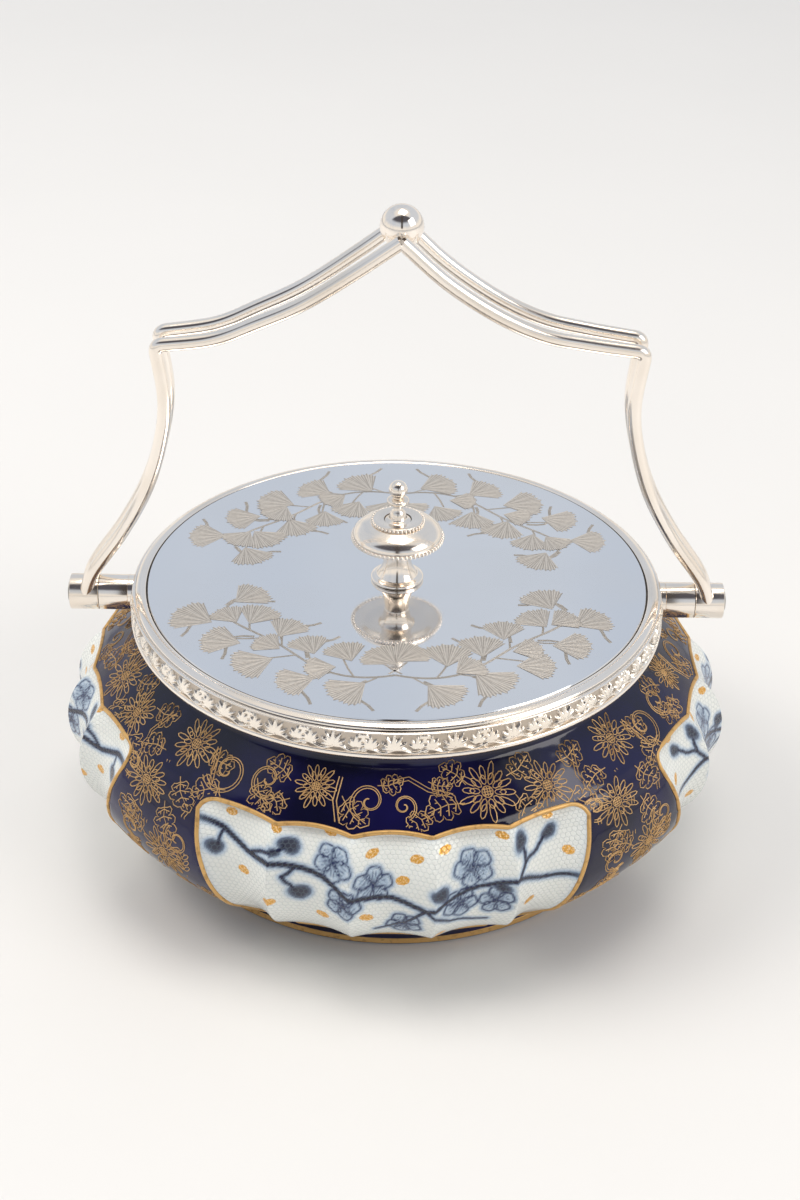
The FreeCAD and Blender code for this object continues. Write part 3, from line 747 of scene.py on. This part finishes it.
class JARS_OT_pot(bpy.types.Operator):
    """Ceramic pot with its hollow flutes, panels and gilding"""
    bl_idname = "jars.pot"
    bl_label = "Pot"

    def execute(self, context):
        settings = context.scene.jar
        turns = []
        for quarter in range(4):
            for low, high in zip(FLUTE_SIDES, FLUTE_SIDES[1:]):
                turns += list(np.linspace(low, high, 14, endpoint=False) + QUARTER * quarter)
            gap = np.linspace(PANEL_HALF, QUARTER - PANEL_HALF, 8, endpoint=False)
            turns += list(gap + QUARTER * quarter)
        turns = np.array(turns + [4 * QUARTER - PANEL_HALF])
        inner = softened([(NECK_R, RIM_Z), (MOUTH_R, RIM_Z), (MOUTH_R, 57.2), (76.4, 40.2), (81.3, 31.0),
                          (76.0, 22.2), (58.0, FLOOR_Z), (0.0, FLOOR_Z)])
        under = [(63.0, 0.0), (57.6, 0.0), (56.6, 2.0), (0.0, 2.0)]
        marks = [("in", p) for p in inner[::-1]][:-1]
        marks += [("out", s) for s in np.linspace(0, LENGTHS[-1], 140)] + [("in", p) for p in under]

        def spots(across, down):
            turn = np.interp(across * (len(turns) - 1), np.arange(len(turns)), turns)
            points = np.zeros((len(turn), 3))
            row = np.rint(down * (len(marks) - 1)).astype(int)
            for number, (kind, value) in enumerate(marks):
                here = row == number
                if kind == "out":
                    points[here] = surface(turn[here], np.full(here.sum(), value))
                    continue
                angle = np.radians(turn[here])
                points[here] = np.stack([value[0] * np.cos(angle), value[0] * np.sin(angle),
                                         np.full(here.sum(), value[1])], -1)
            return points

        mesh = grid("pot_glaze", len(turns) - 1, len(marks) - 1, spots)[0]
        welded(mesh)
        piece("pot_glaze", mesh, "cobalt_glaze", "pot", ["pot_body"], 30)
        for number in range(4):
            self.panel(number, settings.border_radius)
        self.ornament()
        foot = spun([(64.9, 0.5), (65.14, 0.7), (65.14, 2.1), (64.9, 2.3)], steps=128)
        piece("gilt_foot_line", to_mesh("gilt_foot_line", foot), "gilding", "pot")
        return {"FINISHED"}

    def panel(self, number, border):
        """Painted skin of one panel and the raised gilt line round it."""
        columns, within, skin = 56, 0.9985, 0.07
        edges = np.concatenate([np.linspace(low, high, columns, endpoint=False)
                                for low, high in zip(FLUTE_SIDES, FLUTE_SIDES[1:])] + [[PANEL_HALF]])
        edges = edges * within

        def place(across, down):
            local = np.interp(across * (len(edges) - 1), np.arange(len(edges)), edges)
            top, bottom = panel_border(local)
            s = top + (bottom - top) * down
            return narrowed(local, s), s, top, bottom

        def spots(across, down):
            local, s, _, _ = place(across, down)
            return surface(local + QUARTER * number, s, skin)

        mesh, across, down = grid("panel_%d" % number, len(edges) - 1, 110, spots)
        local, s, top, bottom = place(across, down)
        x, y = local * BELLY_ARC, s - down_at(PANEL_TOP_Z)
        rim = np.minimum((panel_half(s) - np.abs(local)) * BELLY_ARC, np.minimum(s - top, bottom - s))
        tint, gilt = painted(x if number % 2 else -x, y)
        tint = edge_blue(tint, rim)
        set_values(mesh, "paint", "FLOAT_COLOR", np.concatenate([tint, gilt[:, None]], 1))
        layer = mesh.uv_layers.new(name="cells")
        corners = np.empty(len(mesh.loops), int)
        mesh.loops.foreach_get("vertex_index", corners)
        cells = np.stack([x / CELL, s / (CELL * CELL_RATIO)], -1)[corners]
        layer.data.foreach_set("uv", cells.ravel())
        piece("panel_%d" % number, mesh, "panel_glaze", "pot", (), 60)
        self.border(number, border)

    def border(self, number, radius):
        """Gilt line along all four sides of a panel, sunk a little into the glaze."""
        side, steps, sunk = 35.9, 20, -0.2

        def between(one, other):
            turn, down = other[0] - one[0], other[1] - one[1]
            return [(one[0] + turn * step / steps, one[1] + down * step / steps)
                    for step in range(1, steps)]

        top = [(angle, panel_border(angle)[0]) for angle in np.linspace(-side, side, 140)]
        low = [(angle, panel_border(angle)[1]) for angle in np.linspace(side, -side, 100)]
        loop = top + between(top[-1], low[0]) + low + between(low[-1], top[0])
        path = [spot_on_pot(float(narrowed(turn, s)) + QUARTER * number, s, sunk) for turn, s in loop]
        piece("gilt_border_%d" % number, lines_mesh("gilt_border", [path], radius, 2, True), "gilding",
              "pot", (), 80)

    def ornament(self):
        """Gilt lines on the shoulder and in the gaps, cut off where they would run into a panel."""
        start, line_radius, lift = float(down_at(SHOULDER_Z)), 0.00014, 0.02
        lines = ornament()
        for quarter in range(4):
            rods = []
            for line in lines:
                path = []
                for x, y in line:
                    turn, s = x / SHOULDER_ARC, y + start
                    local = (turn + QUARTER / 2) % QUARTER - QUARTER / 2
                    if abs(local) < panel_half(s) + 0.5 and s > panel_border(local)[0] - 0.8:
                        rods.append(path)
                        path = []
                        continue
                    path.append(spot_on_pot(turn + QUARTER * quarter, s, lift))
                rods.append(path)
            rods = [rod for rod in rods if len(rod) > 1]
            piece("gilt_ornament_%d" % quarter, lines_mesh("gilt_ornament", rods, line_radius),
                  "line_gilding", "pot", (), 80)


class JARS_OT_collar(bpy.types.Operator):
    """Silver collar with its embossed border, mouldings, lugs and pins"""
    bl_idname = "jars.collar"
    bl_label = "Collar"

    def execute(self, context):
        relief = context.scene.jar.relief / MM

        def fingers(across, up, base, reach, count, spread, rise):
            """Height, 0 to 1, of a leaf of spread fingers that grows up from its base or hangs down."""
            best = np.zeros(across.shape)
            for number in range(count):
                share = number / (count - 1) * 2 - 1
                heading = share * spread
                length = reach * (1 - 0.28 * abs(share))
                grown = (up - base) * rise
                along = (across * math.sin(heading) + grown * math.cos(heading)) / length
                off = across * math.cos(heading) - grown * math.sin(heading)
                wide = 0.66 * np.sin(math.pi * np.clip(along, 0, 1) ** 0.75) + 0.02
                bump = np.clip(1 - (off / wide) ** 2, 0, 1) * (along > 0) * (along < 1.0)
                vein = 0.22 * np.clip(1 - np.abs(off) / 0.14, 0, 1)
                best = np.maximum(best, np.sqrt(bump) * (1 - vein) * (1 - 0.25 * np.clip(along, 0, 1)))
            return best

        def height(turn, y):
            """Embossing: fingered leaves on a running stem, 0 to 1."""
            across = ((turn / 360 * BORDER_LEAVES) % 1.0 - 0.5) * BORDER_PERIOD
            other = (across + BORDER_PERIOD) % BORDER_PERIOD - BORDER_PERIOD / 2
            up = y * BORDER_TALL
            leaf = fingers(across, up, 1.9, 4.3, 7, 1.6, 1)
            pair = fingers(np.abs(other) - 1.7, up, 2.0, 3.3, 5, 1.15, 1) * 0.85
            hanging = fingers(other, up, 5.6, 2.6, 3, 0.9, -1) * 0.7
            path = 1.25 + 0.55 * np.sin(across * 4 * math.pi / BORDER_PERIOD + 0.6)
            running = np.sqrt(np.clip(1 - ((up - path) / 0.42) ** 2, 0, 1)) * 0.85
            curl = np.abs(np.hypot(other * 0.9, up - 1.7) - 0.9)
            curl = np.sqrt(np.clip(1 - (curl / 0.34) ** 2, 0, 1)) * 0.65
            return np.maximum.reduce([leaf, pair, hanging, running, curl])

        def spots(across, down):
            turn, z = across * 360.0, BORDER_TOP_Z - down * BORDER_TALL
            rise = height(turn, 1 - down) * np.clip(np.minimum(down, 1 - down) * 16, 0, 1)
            reach = BORDER_R + relief * rise + 0.25 * np.sin(math.pi * down)
            angle = np.radians(turn)
            return np.stack([reach * np.cos(angle), reach * np.sin(angle), z], -1)

        mesh, across, down = grid("embossed_border", 2200, 34, spots)
        # Painted shade: the lower the relief, the more the hollow attribute darkens the collar there.
        rise = height(across * 360.0, 1 - down)
        set_values(mesh, "hollow", "FLOAT", np.clip(0.26 - rise, 0, 0.26) * 2.2)
        welded(mesh)
        piece("embossed_border", mesh, "collar_silver", "pot", ["collar_border"], 180)
        beads = {
            "collar_lip": ("collar_lip_bead", outlined(
                [(69.15, 61.9)],
                [(69.6, 61.85), (70.2, 62.0), (70.3, 62.6), (70.1, 63.15), (69.5, 63.3)],
                [(69.15, 63.3)])),
            "collar_moulding": ("collar_top_bead", outlined(
                [(69.0, 68.5)],
                [(69.5, 68.6), (69.8, 68.75), (69.75, 68.95), (69.4, 69.08)],
                [(69.0, 69.08)])),
        }
        for node, (name, outline) in beads.items():
            piece(name, to_mesh(name, spun(outline, steps=160)), "silver_plate", "pot",
                  [node])
        for side, word in ((-1, "left"), (1, "right")):
            spans = (("lug_barrel_", SADDLE_END, KNUCKLE_SPLIT, "pot"),
                     ("bail_barrel_", KNUCKLE_SPLIT + KNUCKLE_GAP, BARREL_END, "bail"))
            for name, first, last, body in spans:
                outline = [(1.7, first), (4.55, first), (4.72, first + 0.12), (BARREL_R, first + 0.4),
                           (BARREL_R, last - 0.4), (4.72, last - 0.12), (4.5, last), (1.7, last)]
                shape = spun(outline, steps=64)
                level = Matrix.Rotation(side * math.pi / 2, 4, "Y")
                turn = Matrix.Translation((0, 0, PIVOT_Z * MM)) @ level
                bmesh.ops.transform(shape, matrix=turn, verts=shape.verts)
                piece("turned_" + name + word, to_mesh(name, shape), "silver_plate", body,
                      [name + word])
        return {"FINISHED"}


class JARS_OT_bail(bpy.types.Operator):
    """Double wire bail with mitred corners and its ball"""
    bl_idname = "jars.bail"
    bl_label = "Bail"

    def execute(self, context):
        radius = context.scene.jar.wire_radius
        leg = [(82.7, PIVOT_Z), (79.7, 72.8), (71.2, 85.3), (64.3, 98.3), (60.0, 112.3), (58.6, 123.8),
               BAIL_CORNER]
        bars = {"left": [BAIL_CORNER, (46.0, 140.2), (35.0, 144.8), (23.5, 150.4), (11.0, 158.8),
                         (0.0, BAIL_TOP_Z)],
                "right": [BAIL_CORNER, (46.0, 140.3), (35.0, 142.7), (23.5, 148.0), (11.0, 156.6),
                          (0.0, BAIL_TOP_Z)]}
        for bank, place in ((-1, "front"), (1, "rear")):
            for side, word in ((-1, "left"), (1, "right")):
                path = []
                for points, low, high in ((leg, SPREAD_LOW, SPREAD_MIDDLE),
                                          (bars[word], SPREAD_MIDDLE, SPREAD_TOP)):
                    fine = self.smooth(points, 9)
                    for number, (x, z) in enumerate(fine):
                        spread = low + (high - low) * number / (len(fine) - 1)
                        path.append(Vector((side * x, bank * spread, z)) * MM)
                    if points is leg:
                        path.pop()
                corner = Vector((side * BAIL_CORNER[0], bank * SPREAD_MIDDLE, BAIL_CORNER[1]))
                self.round_corner(path, corner * MM)
                shape = bmesh.new()
                tube(shape, path, radius, 20)
                half_seam = 0.00003
                bmesh.ops.bisect_plane(shape, geom=shape.verts[:] + shape.edges[:] + shape.faces[:],
                                       plane_co=(side * half_seam, 0, 0), plane_no=(-side, 0, 0),
                                       clear_outer=True)
                name = "wire_%s_%s" % (place, word)
                piece(name, to_mesh(name, shape), "silver_plate", "bail",
                      ["bail_" + name], 50)
        shape = bmesh.new()
        bmesh.ops.create_uvsphere(shape, u_segments=48, v_segments=28, radius=BALL_R * MM,
                                  matrix=Matrix.Translation((0, 0, BALL_Z * MM)))
        pin = Matrix.Translation((0, 0, BAIL_TOP_Z * MM)) @ Matrix.Rotation(math.pi / 2, 4, "X")
        bmesh.ops.create_cone(shape, cap_ends=True, segments=24, radius1=CROSS_PIN_R * MM,
                              radius2=CROSS_PIN_R * MM, depth=CROSS_PIN * MM, matrix=pin)
        piece("ball_knop", to_mesh("ball_knop", shape), "silver_plate", "bail",
              ["bail_ball"], 60)
        return {"FINISHED"}

    def round_corner(self, path, corner):
        """Puts a small arc in place of the path's sharp corner."""
        reach, cleared, steps = 0.0021, 0.0026, 6
        place = min(range(len(path)), key=lambda number: (path[number] - corner).length)
        sharp = path[place]
        start = sharp + (path[place - 1] - sharp).normalized() * reach
        end = sharp + (path[place + 1] - sharp).normalized() * reach
        bend = []
        for step in range(steps + 1):
            share = step / steps
            bend.append(start * (1 - share) ** 2 + sharp * 2 * share * (1 - share) + end * share ** 2)
        keep_low = [spot for spot in path[:place] if (spot - sharp).length > cleared]
        keep_high = [spot for spot in path[place + 1:] if (spot - corner).length > cleared]
        path[:] = keep_low + bend + keep_high

    def smooth(self, points, count):
        """Catmull-Rom points through a row of points."""
        ends = [(2 * points[0][0] - points[1][0], 2 * points[0][1] - points[1][1])]
        ends += points + [(2 * points[-1][0] - points[-2][0], 2 * points[-1][1] - points[-2][1])]
        fine = []
        for a, b, c, d in zip(ends, ends[1:], ends[2:], ends[3:]):
            for step in range(count):
                t = step / count
                fine.append(tuple(0.5 * (2 * q + (r - p) * t + (2 * p - 5 * q + 4 * r - w) * t * t
                                         + (3 * q - p - 3 * r + w) * t ** 3)
                                  for p, q, r, w in zip(a, b, c, d)))
        return fine + [points[-1]]


class JARS_OT_lid(bpy.types.Operator):
    """Mirror-flat lid with its engraved wreath"""
    bl_idname = "jars.lid"
    bl_label = "Lid"

    def execute(self, context):
        outline = [(2.0, -1.0), (2.0, 0.0), (30.0, 0.0), (60.0, 0.0), (65.5, 0.0), (65.7, -0.3),
                   (65.7, -1.0)]
        shape = spun(outline + outline[:1], LID_Z, 180)
        piece("lid_plate", to_mesh("lid_plate", shape), "mirror_silver", "lid",
              ["lid_disc"], 25)
        crown = [(66.0, -0.5), (66.05, -0.05), (67.0, 0.18), (68.1, -0.1), (68.85, -0.6), (68.8, -1.27)]
        rim = [(66.0, -1.0)] + softened(crown, 3) + [(67.5, -1.29), (67.4, -1.0), (66.0, -1.0)]
        piece("lid_rim", to_mesh("lid_rim", spun(rim, LID_Z, 180)), "silver_plate", "lid",
              (), 40)
        # Painted shade: a near-black ring sunk between the lid plate and its rim, standing for the shadow
        # in the groove.
        groove = spun([(65.6, -0.6), (65.7, -0.32), (66.0, -0.32), (66.1, -0.6)], LID_Z, 180)
        piece("lid_groove", to_mesh("lid_groove", groove, False), "groove_shade", "lid",
              (), 80)
        shape = bmesh.new()
        layer = shape.loops.layers.uv.new("lines")
        rng = random.Random(11)
        for spray in (-90.0, 90.0):
            for hand in (-1, 1):
                self.spray(shape, layer, rng, spray, hand)
        piece("engraved_wreath", to_mesh("engraved_wreath", shape, False), "frosted_engraving", "lid",
              (), 80)
        return {"FINISHED"}

    def spray(self, shape, layer, rng, middle, hand):
        """Half of one spray: winding stem, fan-shaped leaves on stalks and curling tendrils."""
        def polar(radius, turn):
            return radius, math.radians(middle + hand * turn)

        def winding(turn):
            return WREATH_R + 2.2 * math.sin(turn * 0.11)

        raised = 0.006 if hand > 0 else 0.0
        winder = [polar(winding(step * 3.0), step * 3.0) for step in range(24)]
        self.stroke(shape, layer, winder, 0.38, 0.012 + raised / 6)
        leaves, first, pitch = 11, 5.0, 7.0
        for number in range(leaves):
            turn = first + number * pitch
            outer = number % 2
            size = rng.uniform(9.6, 11.2) if outer else rng.uniform(8.6, 10.2)
            radius = (54.5 if outer else 38.5) + rng.uniform(-1.5, 1.5)
            radius += 1.6 if number > 7 and not outer else 0
            swing = rng.uniform(0.35, 0.95)
            angle = polar(radius, turn)[1]
            heading = angle + hand * swing if outer else angle + math.pi - hand * swing
            self.leaf(shape, layer, radius, angle, heading, size, 0.02 + 0.012 * (number % 3) + raised)
            self.stroke(shape, layer, [polar(winding(turn - 7), turn - 7),
                                       polar((winding(turn - 4) * 2 + radius) / 3, turn - 4),
                                       polar((winding(turn) + radius * 2) / 3, turn - 1)], 0.28, 0.010)
            if number % 3 == 2:
                self.leaf(shape, layer, 47.0 + rng.uniform(-1, 1), angle + hand * 0.07,
                          angle + hand * rng.uniform(1.0, 2.0), rng.uniform(7.5, 9.0), 0.058 + raised)
            if number % 3 != 1:
                way = -1 if outer else 1
                curl = [polar(winding(turn) + way * (2 + step * 2.1),
                              turn + 3 + 3.4 * math.sin(step * 0.75)) for step in range(7)]
                self.stroke(shape, layer, curl, 0.42, 0.008)

    def leaf(self, shape, layer, radius, angle, turn, size, lift):
        """Fan-shaped leaf with a notched outer edge, as a thin frosted skin."""
        base = Vector((radius * math.cos(angle), radius * math.sin(angle)))
        base -= Vector((math.cos(turn), math.sin(turn))) * size * 0.5
        count, spread = 24, 0.80
        centre = shape.verts.new((base.x * MM, base.y * MM, (LID_Z + lift) * MM))
        edge = []
        for step in range(count + 1):
            share = step / count * 2 - 1
            ruffle = 1 + 0.045 * math.cos(step * math.pi) - 0.12 * share * share
            ruffle += 0.03 * math.cos(share * 9)
            if step == count // 2:
                ruffle -= 0.09
            heading = turn + share * spread
            spot = base + Vector((math.cos(heading), math.sin(heading))) * size * ruffle
            edge.append(shape.verts.new((spot.x * MM, spot.y * MM, (LID_Z + lift) * MM)))
        for number, (one, other) in enumerate(zip(edge, edge[1:])):
            face = shape.faces.new((centre, one, other))
            if face.normal.z < 0:
                face.normal_flip()
            shades = {centre: ((number + 0.5) / count, 0), one: (number / count, 1),
                      other: ((number + 1) / count, 1)}
            for loop in face.loops:
                loop[layer].uv = shades[loop.vert]

    def stroke(self, shape, layer, points, half, lift):
        """Engraved line of even width through polar points."""
        spots = [Vector((r * math.cos(a), r * math.sin(a))) for r, a in points]
        last = None
        for number, spot in enumerate(spots):
            ahead = spots[min(number + 1, len(spots) - 1)] - spots[max(number - 1, 0)]
            side = Vector((-ahead.y, ahead.x)).normalized() * half
            pair = [shape.verts.new(((spot.x + side.x * sign) * MM, (spot.y + side.y * sign) * MM,
                                     (LID_Z + lift) * MM)) for sign in (1, -1)]
            if last:
                face = shape.faces.new((last[0], last[1], pair[1], pair[0]))
                face.normal_update()
                if face.normal.z < 0:
                    face.normal_flip()
                for loop, uv in zip(face.loops, ((0, 0), (1, 0), (1, 1), (0, 1))):
                    loop[layer].uv = uv
            last = pair


class JARS_OT_finial(bpy.types.Operator):
    """Turned finial with its two rings of beads"""
    bl_idname = "jars.finial"
    bl_label = "Finial"

    def execute(self, context):
        bead = context.scene.jar.bead_radius
        turned = {
            "finial_foot": outlined(
                [(2.1, 0.0), (5.9, 0.0)],
                [(6.2, 0.0), (6.95, 0.3), (6.95, 1.05), (6.1, 1.4)],
                [(5.5, 1.45)],
                [(5.3, 1.6), (4.95, 2.2), (4.3, 3.3), (3.75, 4.9), (3.4, 6.6), (3.2, 8.2)],
                [(3.2, 8.85), (0.0, 8.85)]),
            "finial_stem": outlined(
                [(0.0, 8.95), (3.2, 8.95)],
                [(3.3, 9.1), (3.45, 10.6), (4.0, 12.3), (4.85, 13.4)],
                [(4.9, 13.6), (0.0, 13.6)]),
            "finial_cap": outlined(
                [(0.0, 13.55), (5.0, 13.55)],
                [(8.5, 13.2), (11.0, 12.6), (11.5, 12.6), (11.8, 13.4), (11.4, 14.7), (9.6, 16.3),
                 (7.4, 17.1)],
                [(6.4, 17.3), (0.0, 17.3)]),
            "finial_bead_ring": outlined(
                [(3.6, 17.25)],
                [(6.2, 17.25), (6.6, 17.8), (6.4, 18.1), (5.6, 18.15), (3.6, 17.9)]),
            "finial_spindle": outlined(
                [(0.0, 17.25)],
                [(3.9, 17.3), (3.3, 17.9), (2.3, 18.2), (2.2, 19.0), (1.9, 20.0), (1.2, 20.9),
                 (1.15, 22.5), (1.6, 22.7)],
                [],
                [(2.6, 22.8), (2.95, 23.2), (2.85, 23.8), (1.9, 24.1)],
                [(1.25, 24.2), (1.2, 24.4), (0.0, 24.4)]),
            "finial_knob": [(0.0, 24.4)] + arc(0.0, 26.5, 2.45, range(-59, 91, 7)) + [(0.0, 28.95)],
        }
        for name, outline in turned.items():
            shape = spun(outline, LID_Z, 80)
            piece("turned_" + name, to_mesh(name, shape), "silver_plate", "lid",
                  [name], 40)
        shape = bmesh.new()
        rows = ((64, 11.75, 12.75, bead), (40, 6.75, 17.6, bead * 0.85))
        for count, radius, z, size in rows:
            for number in range(count):
                angle = 2 * math.pi * number / count
                spot = Vector((radius * math.cos(angle), radius * math.sin(angle), LID_Z + z)) * MM
                bmesh.ops.create_icosphere(shape, subdivisions=2, radius=size,
                                           matrix=Matrix.Translation(spot))
        piece("finial_beads", to_mesh("finial_beads", shape), "silver_plate", "lid",
              (), 80)
        return {"FINISHED"}


class JARS_OT_plain_parts(bpy.types.Operator):
    """Finishes for the parts that keep their own solids"""
    bl_idname = "jars.plain_parts"
    bl_label = "Plain parts"

    def execute(self, context):
        other_names = {"embossed_silver": "silver_plate"}
        for part in frame["record"]["subparts"]:
            finish = other_names.get(part["material_slot"], part["material_slot"])
            for slot in frame["nodes"][part["node"]].material_slots:
                slot.material = finish_named(finish)
        return {"FINISHED"}


class JARS_OT_stage(bpy.types.Operator):
    """Pale floor, soft studio light and the camera"""
    bl_idname = "jars.stage"
    bl_label = "Stage"

    def execute(self, context):
        scene = context.scene
        self.floor(scene)
        self.world(scene)
        self.lamps(scene)
        self.camera(scene)
        scene.view_settings.view_transform = "Standard"
        return {"FINISHED"}

    def floor(self, scene):
        """Pale floor that glows faintly far from the jar, so that it meets the sky softly."""
        shape = bmesh.new()
        bmesh.ops.create_grid(shape, x_segments=1, y_segments=1, size=6.0)
        floor = bpy.data.objects.new("floor", to_mesh("floor", shape))
        scene.collection.objects.link(floor)
        tree = Tree(bpy.data.materials.new("floor"))
        tone = tree.noise(5.0, 5.0)
        base = tuple(scene.jar.floor_colour)
        tint = tree.mix(tone, base, tuple(part * 0.95 for part in base))
        away = tree.node("ShaderNodeVectorMath", {"operation": "LENGTH"}, [tree.place()], 1)
        seen = Socket(tree, tree.nodes.new("ShaderNodeLightPath").outputs["Is Camera Ray"])
        glow = tree.mix(away.above(1.7, 1.0) * seen, (0.0, 0.0, 0.0), (0.36, 0.355, 0.34))
        floor.data.materials.append(tree.finish(Base_Color=tint, Roughness=0.55, Emission_Color=glow,
                                                Emission_Strength=1.0))

    def lamps(self, scene):
        """Three large warm lamps aimed at the jar; the key lamp isn't seen in the silver."""
        warm, aim = (1.0, 0.95, 0.89), Vector((0, 0, 0.05))
        for name, place, size, power in (("key", (-1.1, 0.1, 1.2), 0.8, 12.0),
                                         ("fill", (1.0, -0.5, 0.8), 0.7, 6.0),
                                         ("top", (0.1, 0.2, 1.9), 0.9, 9.0)):
            lamp = bpy.data.lights.new(name, "AREA")
            lamp.size, lamp.energy, lamp.color = size, power, warm
            thing = bpy.data.objects.new(name, lamp)
            thing.location = place
            thing.rotation_euler = (aim - Vector(place)).to_track_quat("-Z", "Y").to_euler()
            thing.visible_glossy = name != "key"
            scene.collection.objects.link(thing)

    def camera(self, scene):
        """Camera at the photograph's viewing angle, rolled a little as the photograph is."""
        place, tilt, roll = (0.00086, -0.4545, 0.3412), math.radians(31.43), math.radians(0.86)
        camera = bpy.data.cameras.new("camera")
        camera.sensor_fit = "VERTICAL"
        camera.sensor_height = 36.0
        camera.lens = 60.0
        camera.clip_start = 0.01
        eye = bpy.data.objects.new("camera", camera)
        look = Vector((0, math.cos(tilt), -math.sin(tilt)))
        right, up = Vector((1, 0, 0)), Vector((0, math.sin(tilt), math.cos(tilt)))
        x = right * math.cos(roll) + up * math.sin(roll)
        y = up * math.cos(roll) - right * math.sin(roll)
        eye.matrix_world = Matrix((x, y, -look)).transposed().to_4x4()
        eye.matrix_world.translation = place
        scene.collection.objects.link(eye)
        scene.camera = eye

    def world(self, scene):
        """Soft sky: warm low down, blue-grey above that, bright overhead and dark behind the camera."""
        scene.world = scene.world or bpy.data.worlds.new("studio")
        tree = Tree(scene.world, "ShaderNodeOutputWorld")
        parts = tree.node("ShaderNodeSeparateXYZ", None, [tree.place("Generated")])
        x, y, z = (Socket(tree, output) for output in parts.link.node.outputs)
        sky = tree.mix(z.above(0.24, 0.14), (0.97, 0.93, 0.87), (0.66, 0.71, 0.79))
        streak = tree.noise(2.2, 2.0, tree.node("ShaderNodeCombineXYZ", None, [x * 3.0, y, z * 0.4]))
        sky = tree.mix(streak.above(0.55, 0.12) * 0.22, sky, (0.36, 0.46, 0.64))
        sky = tree.mix(z.above(0.84, 0.08), sky, (0.90, 0.87, 0.83))
        over = (0.0 - y).above(0.24, 0.06) * z.above(0.60, 0.10)
        sky = tree.mix(over, sky, (0.09, 0.09, 0.11))
        aside = x.math("ABSOLUTE").above(0.09, 0.03)
        behind = (0.0 - y).above(0.25, 0.2) * z.above(0.12, 0.08)
        sky = tree.mix((1.0 - aside) * behind, sky, (0.07, 0.06, 0.055))
        seen = Socket(tree, tree.nodes.new("ShaderNodeLightPath").outputs["Is Camera Ray"])
        sky = tree.mix(seen, sky, (0.84, 0.83, 0.81))
        background = tree.node("ShaderNodeBackground", None, [sky, 0.95])
        tree.wire(tree.output.inputs[0], background)


class JARS_PT_panel(bpy.types.Panel):
    """Sizes of the jar and one button for each group of pieces"""
    bl_idname = "JARS_PT_panel"
    bl_label = "Biscuit jar"
    bl_space_type = "VIEW_3D"
    bl_region_type = "UI"
    bl_category = "Jar"

    def draw(self, context):
        for name in ("wire_radius", "bead_radius", "border_radius", "relief", "floor_colour"):
            self.layout.prop(context.scene.jar, name)
        for operator in OPERATORS:
            self.layout.operator(operator.bl_idname)


OPERATORS = (JARS_OT_plain_parts, JARS_OT_pot, JARS_OT_collar, JARS_OT_bail, JARS_OT_lid,
             JARS_OT_finial, JARS_OT_stage)


def register():
    for item in (JarSettings,) + OPERATORS + (JARS_PT_panel,):
        bpy.utils.register_class(item)
    bpy.types.Scene.jar = bpy.props.PointerProperty(type=JarSettings)


def unregister():
    del bpy.types.Scene.jar
    for item in reversed((JarSettings,) + OPERATORS + (JARS_PT_panel,)):
        bpy.utils.unregister_class(item)


def main():
    register()
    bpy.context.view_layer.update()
    for operator in OPERATORS:
        getattr(bpy.ops.jars, operator.bl_idname.split(".")[1])()


if __name__ == "__main__":
    main()
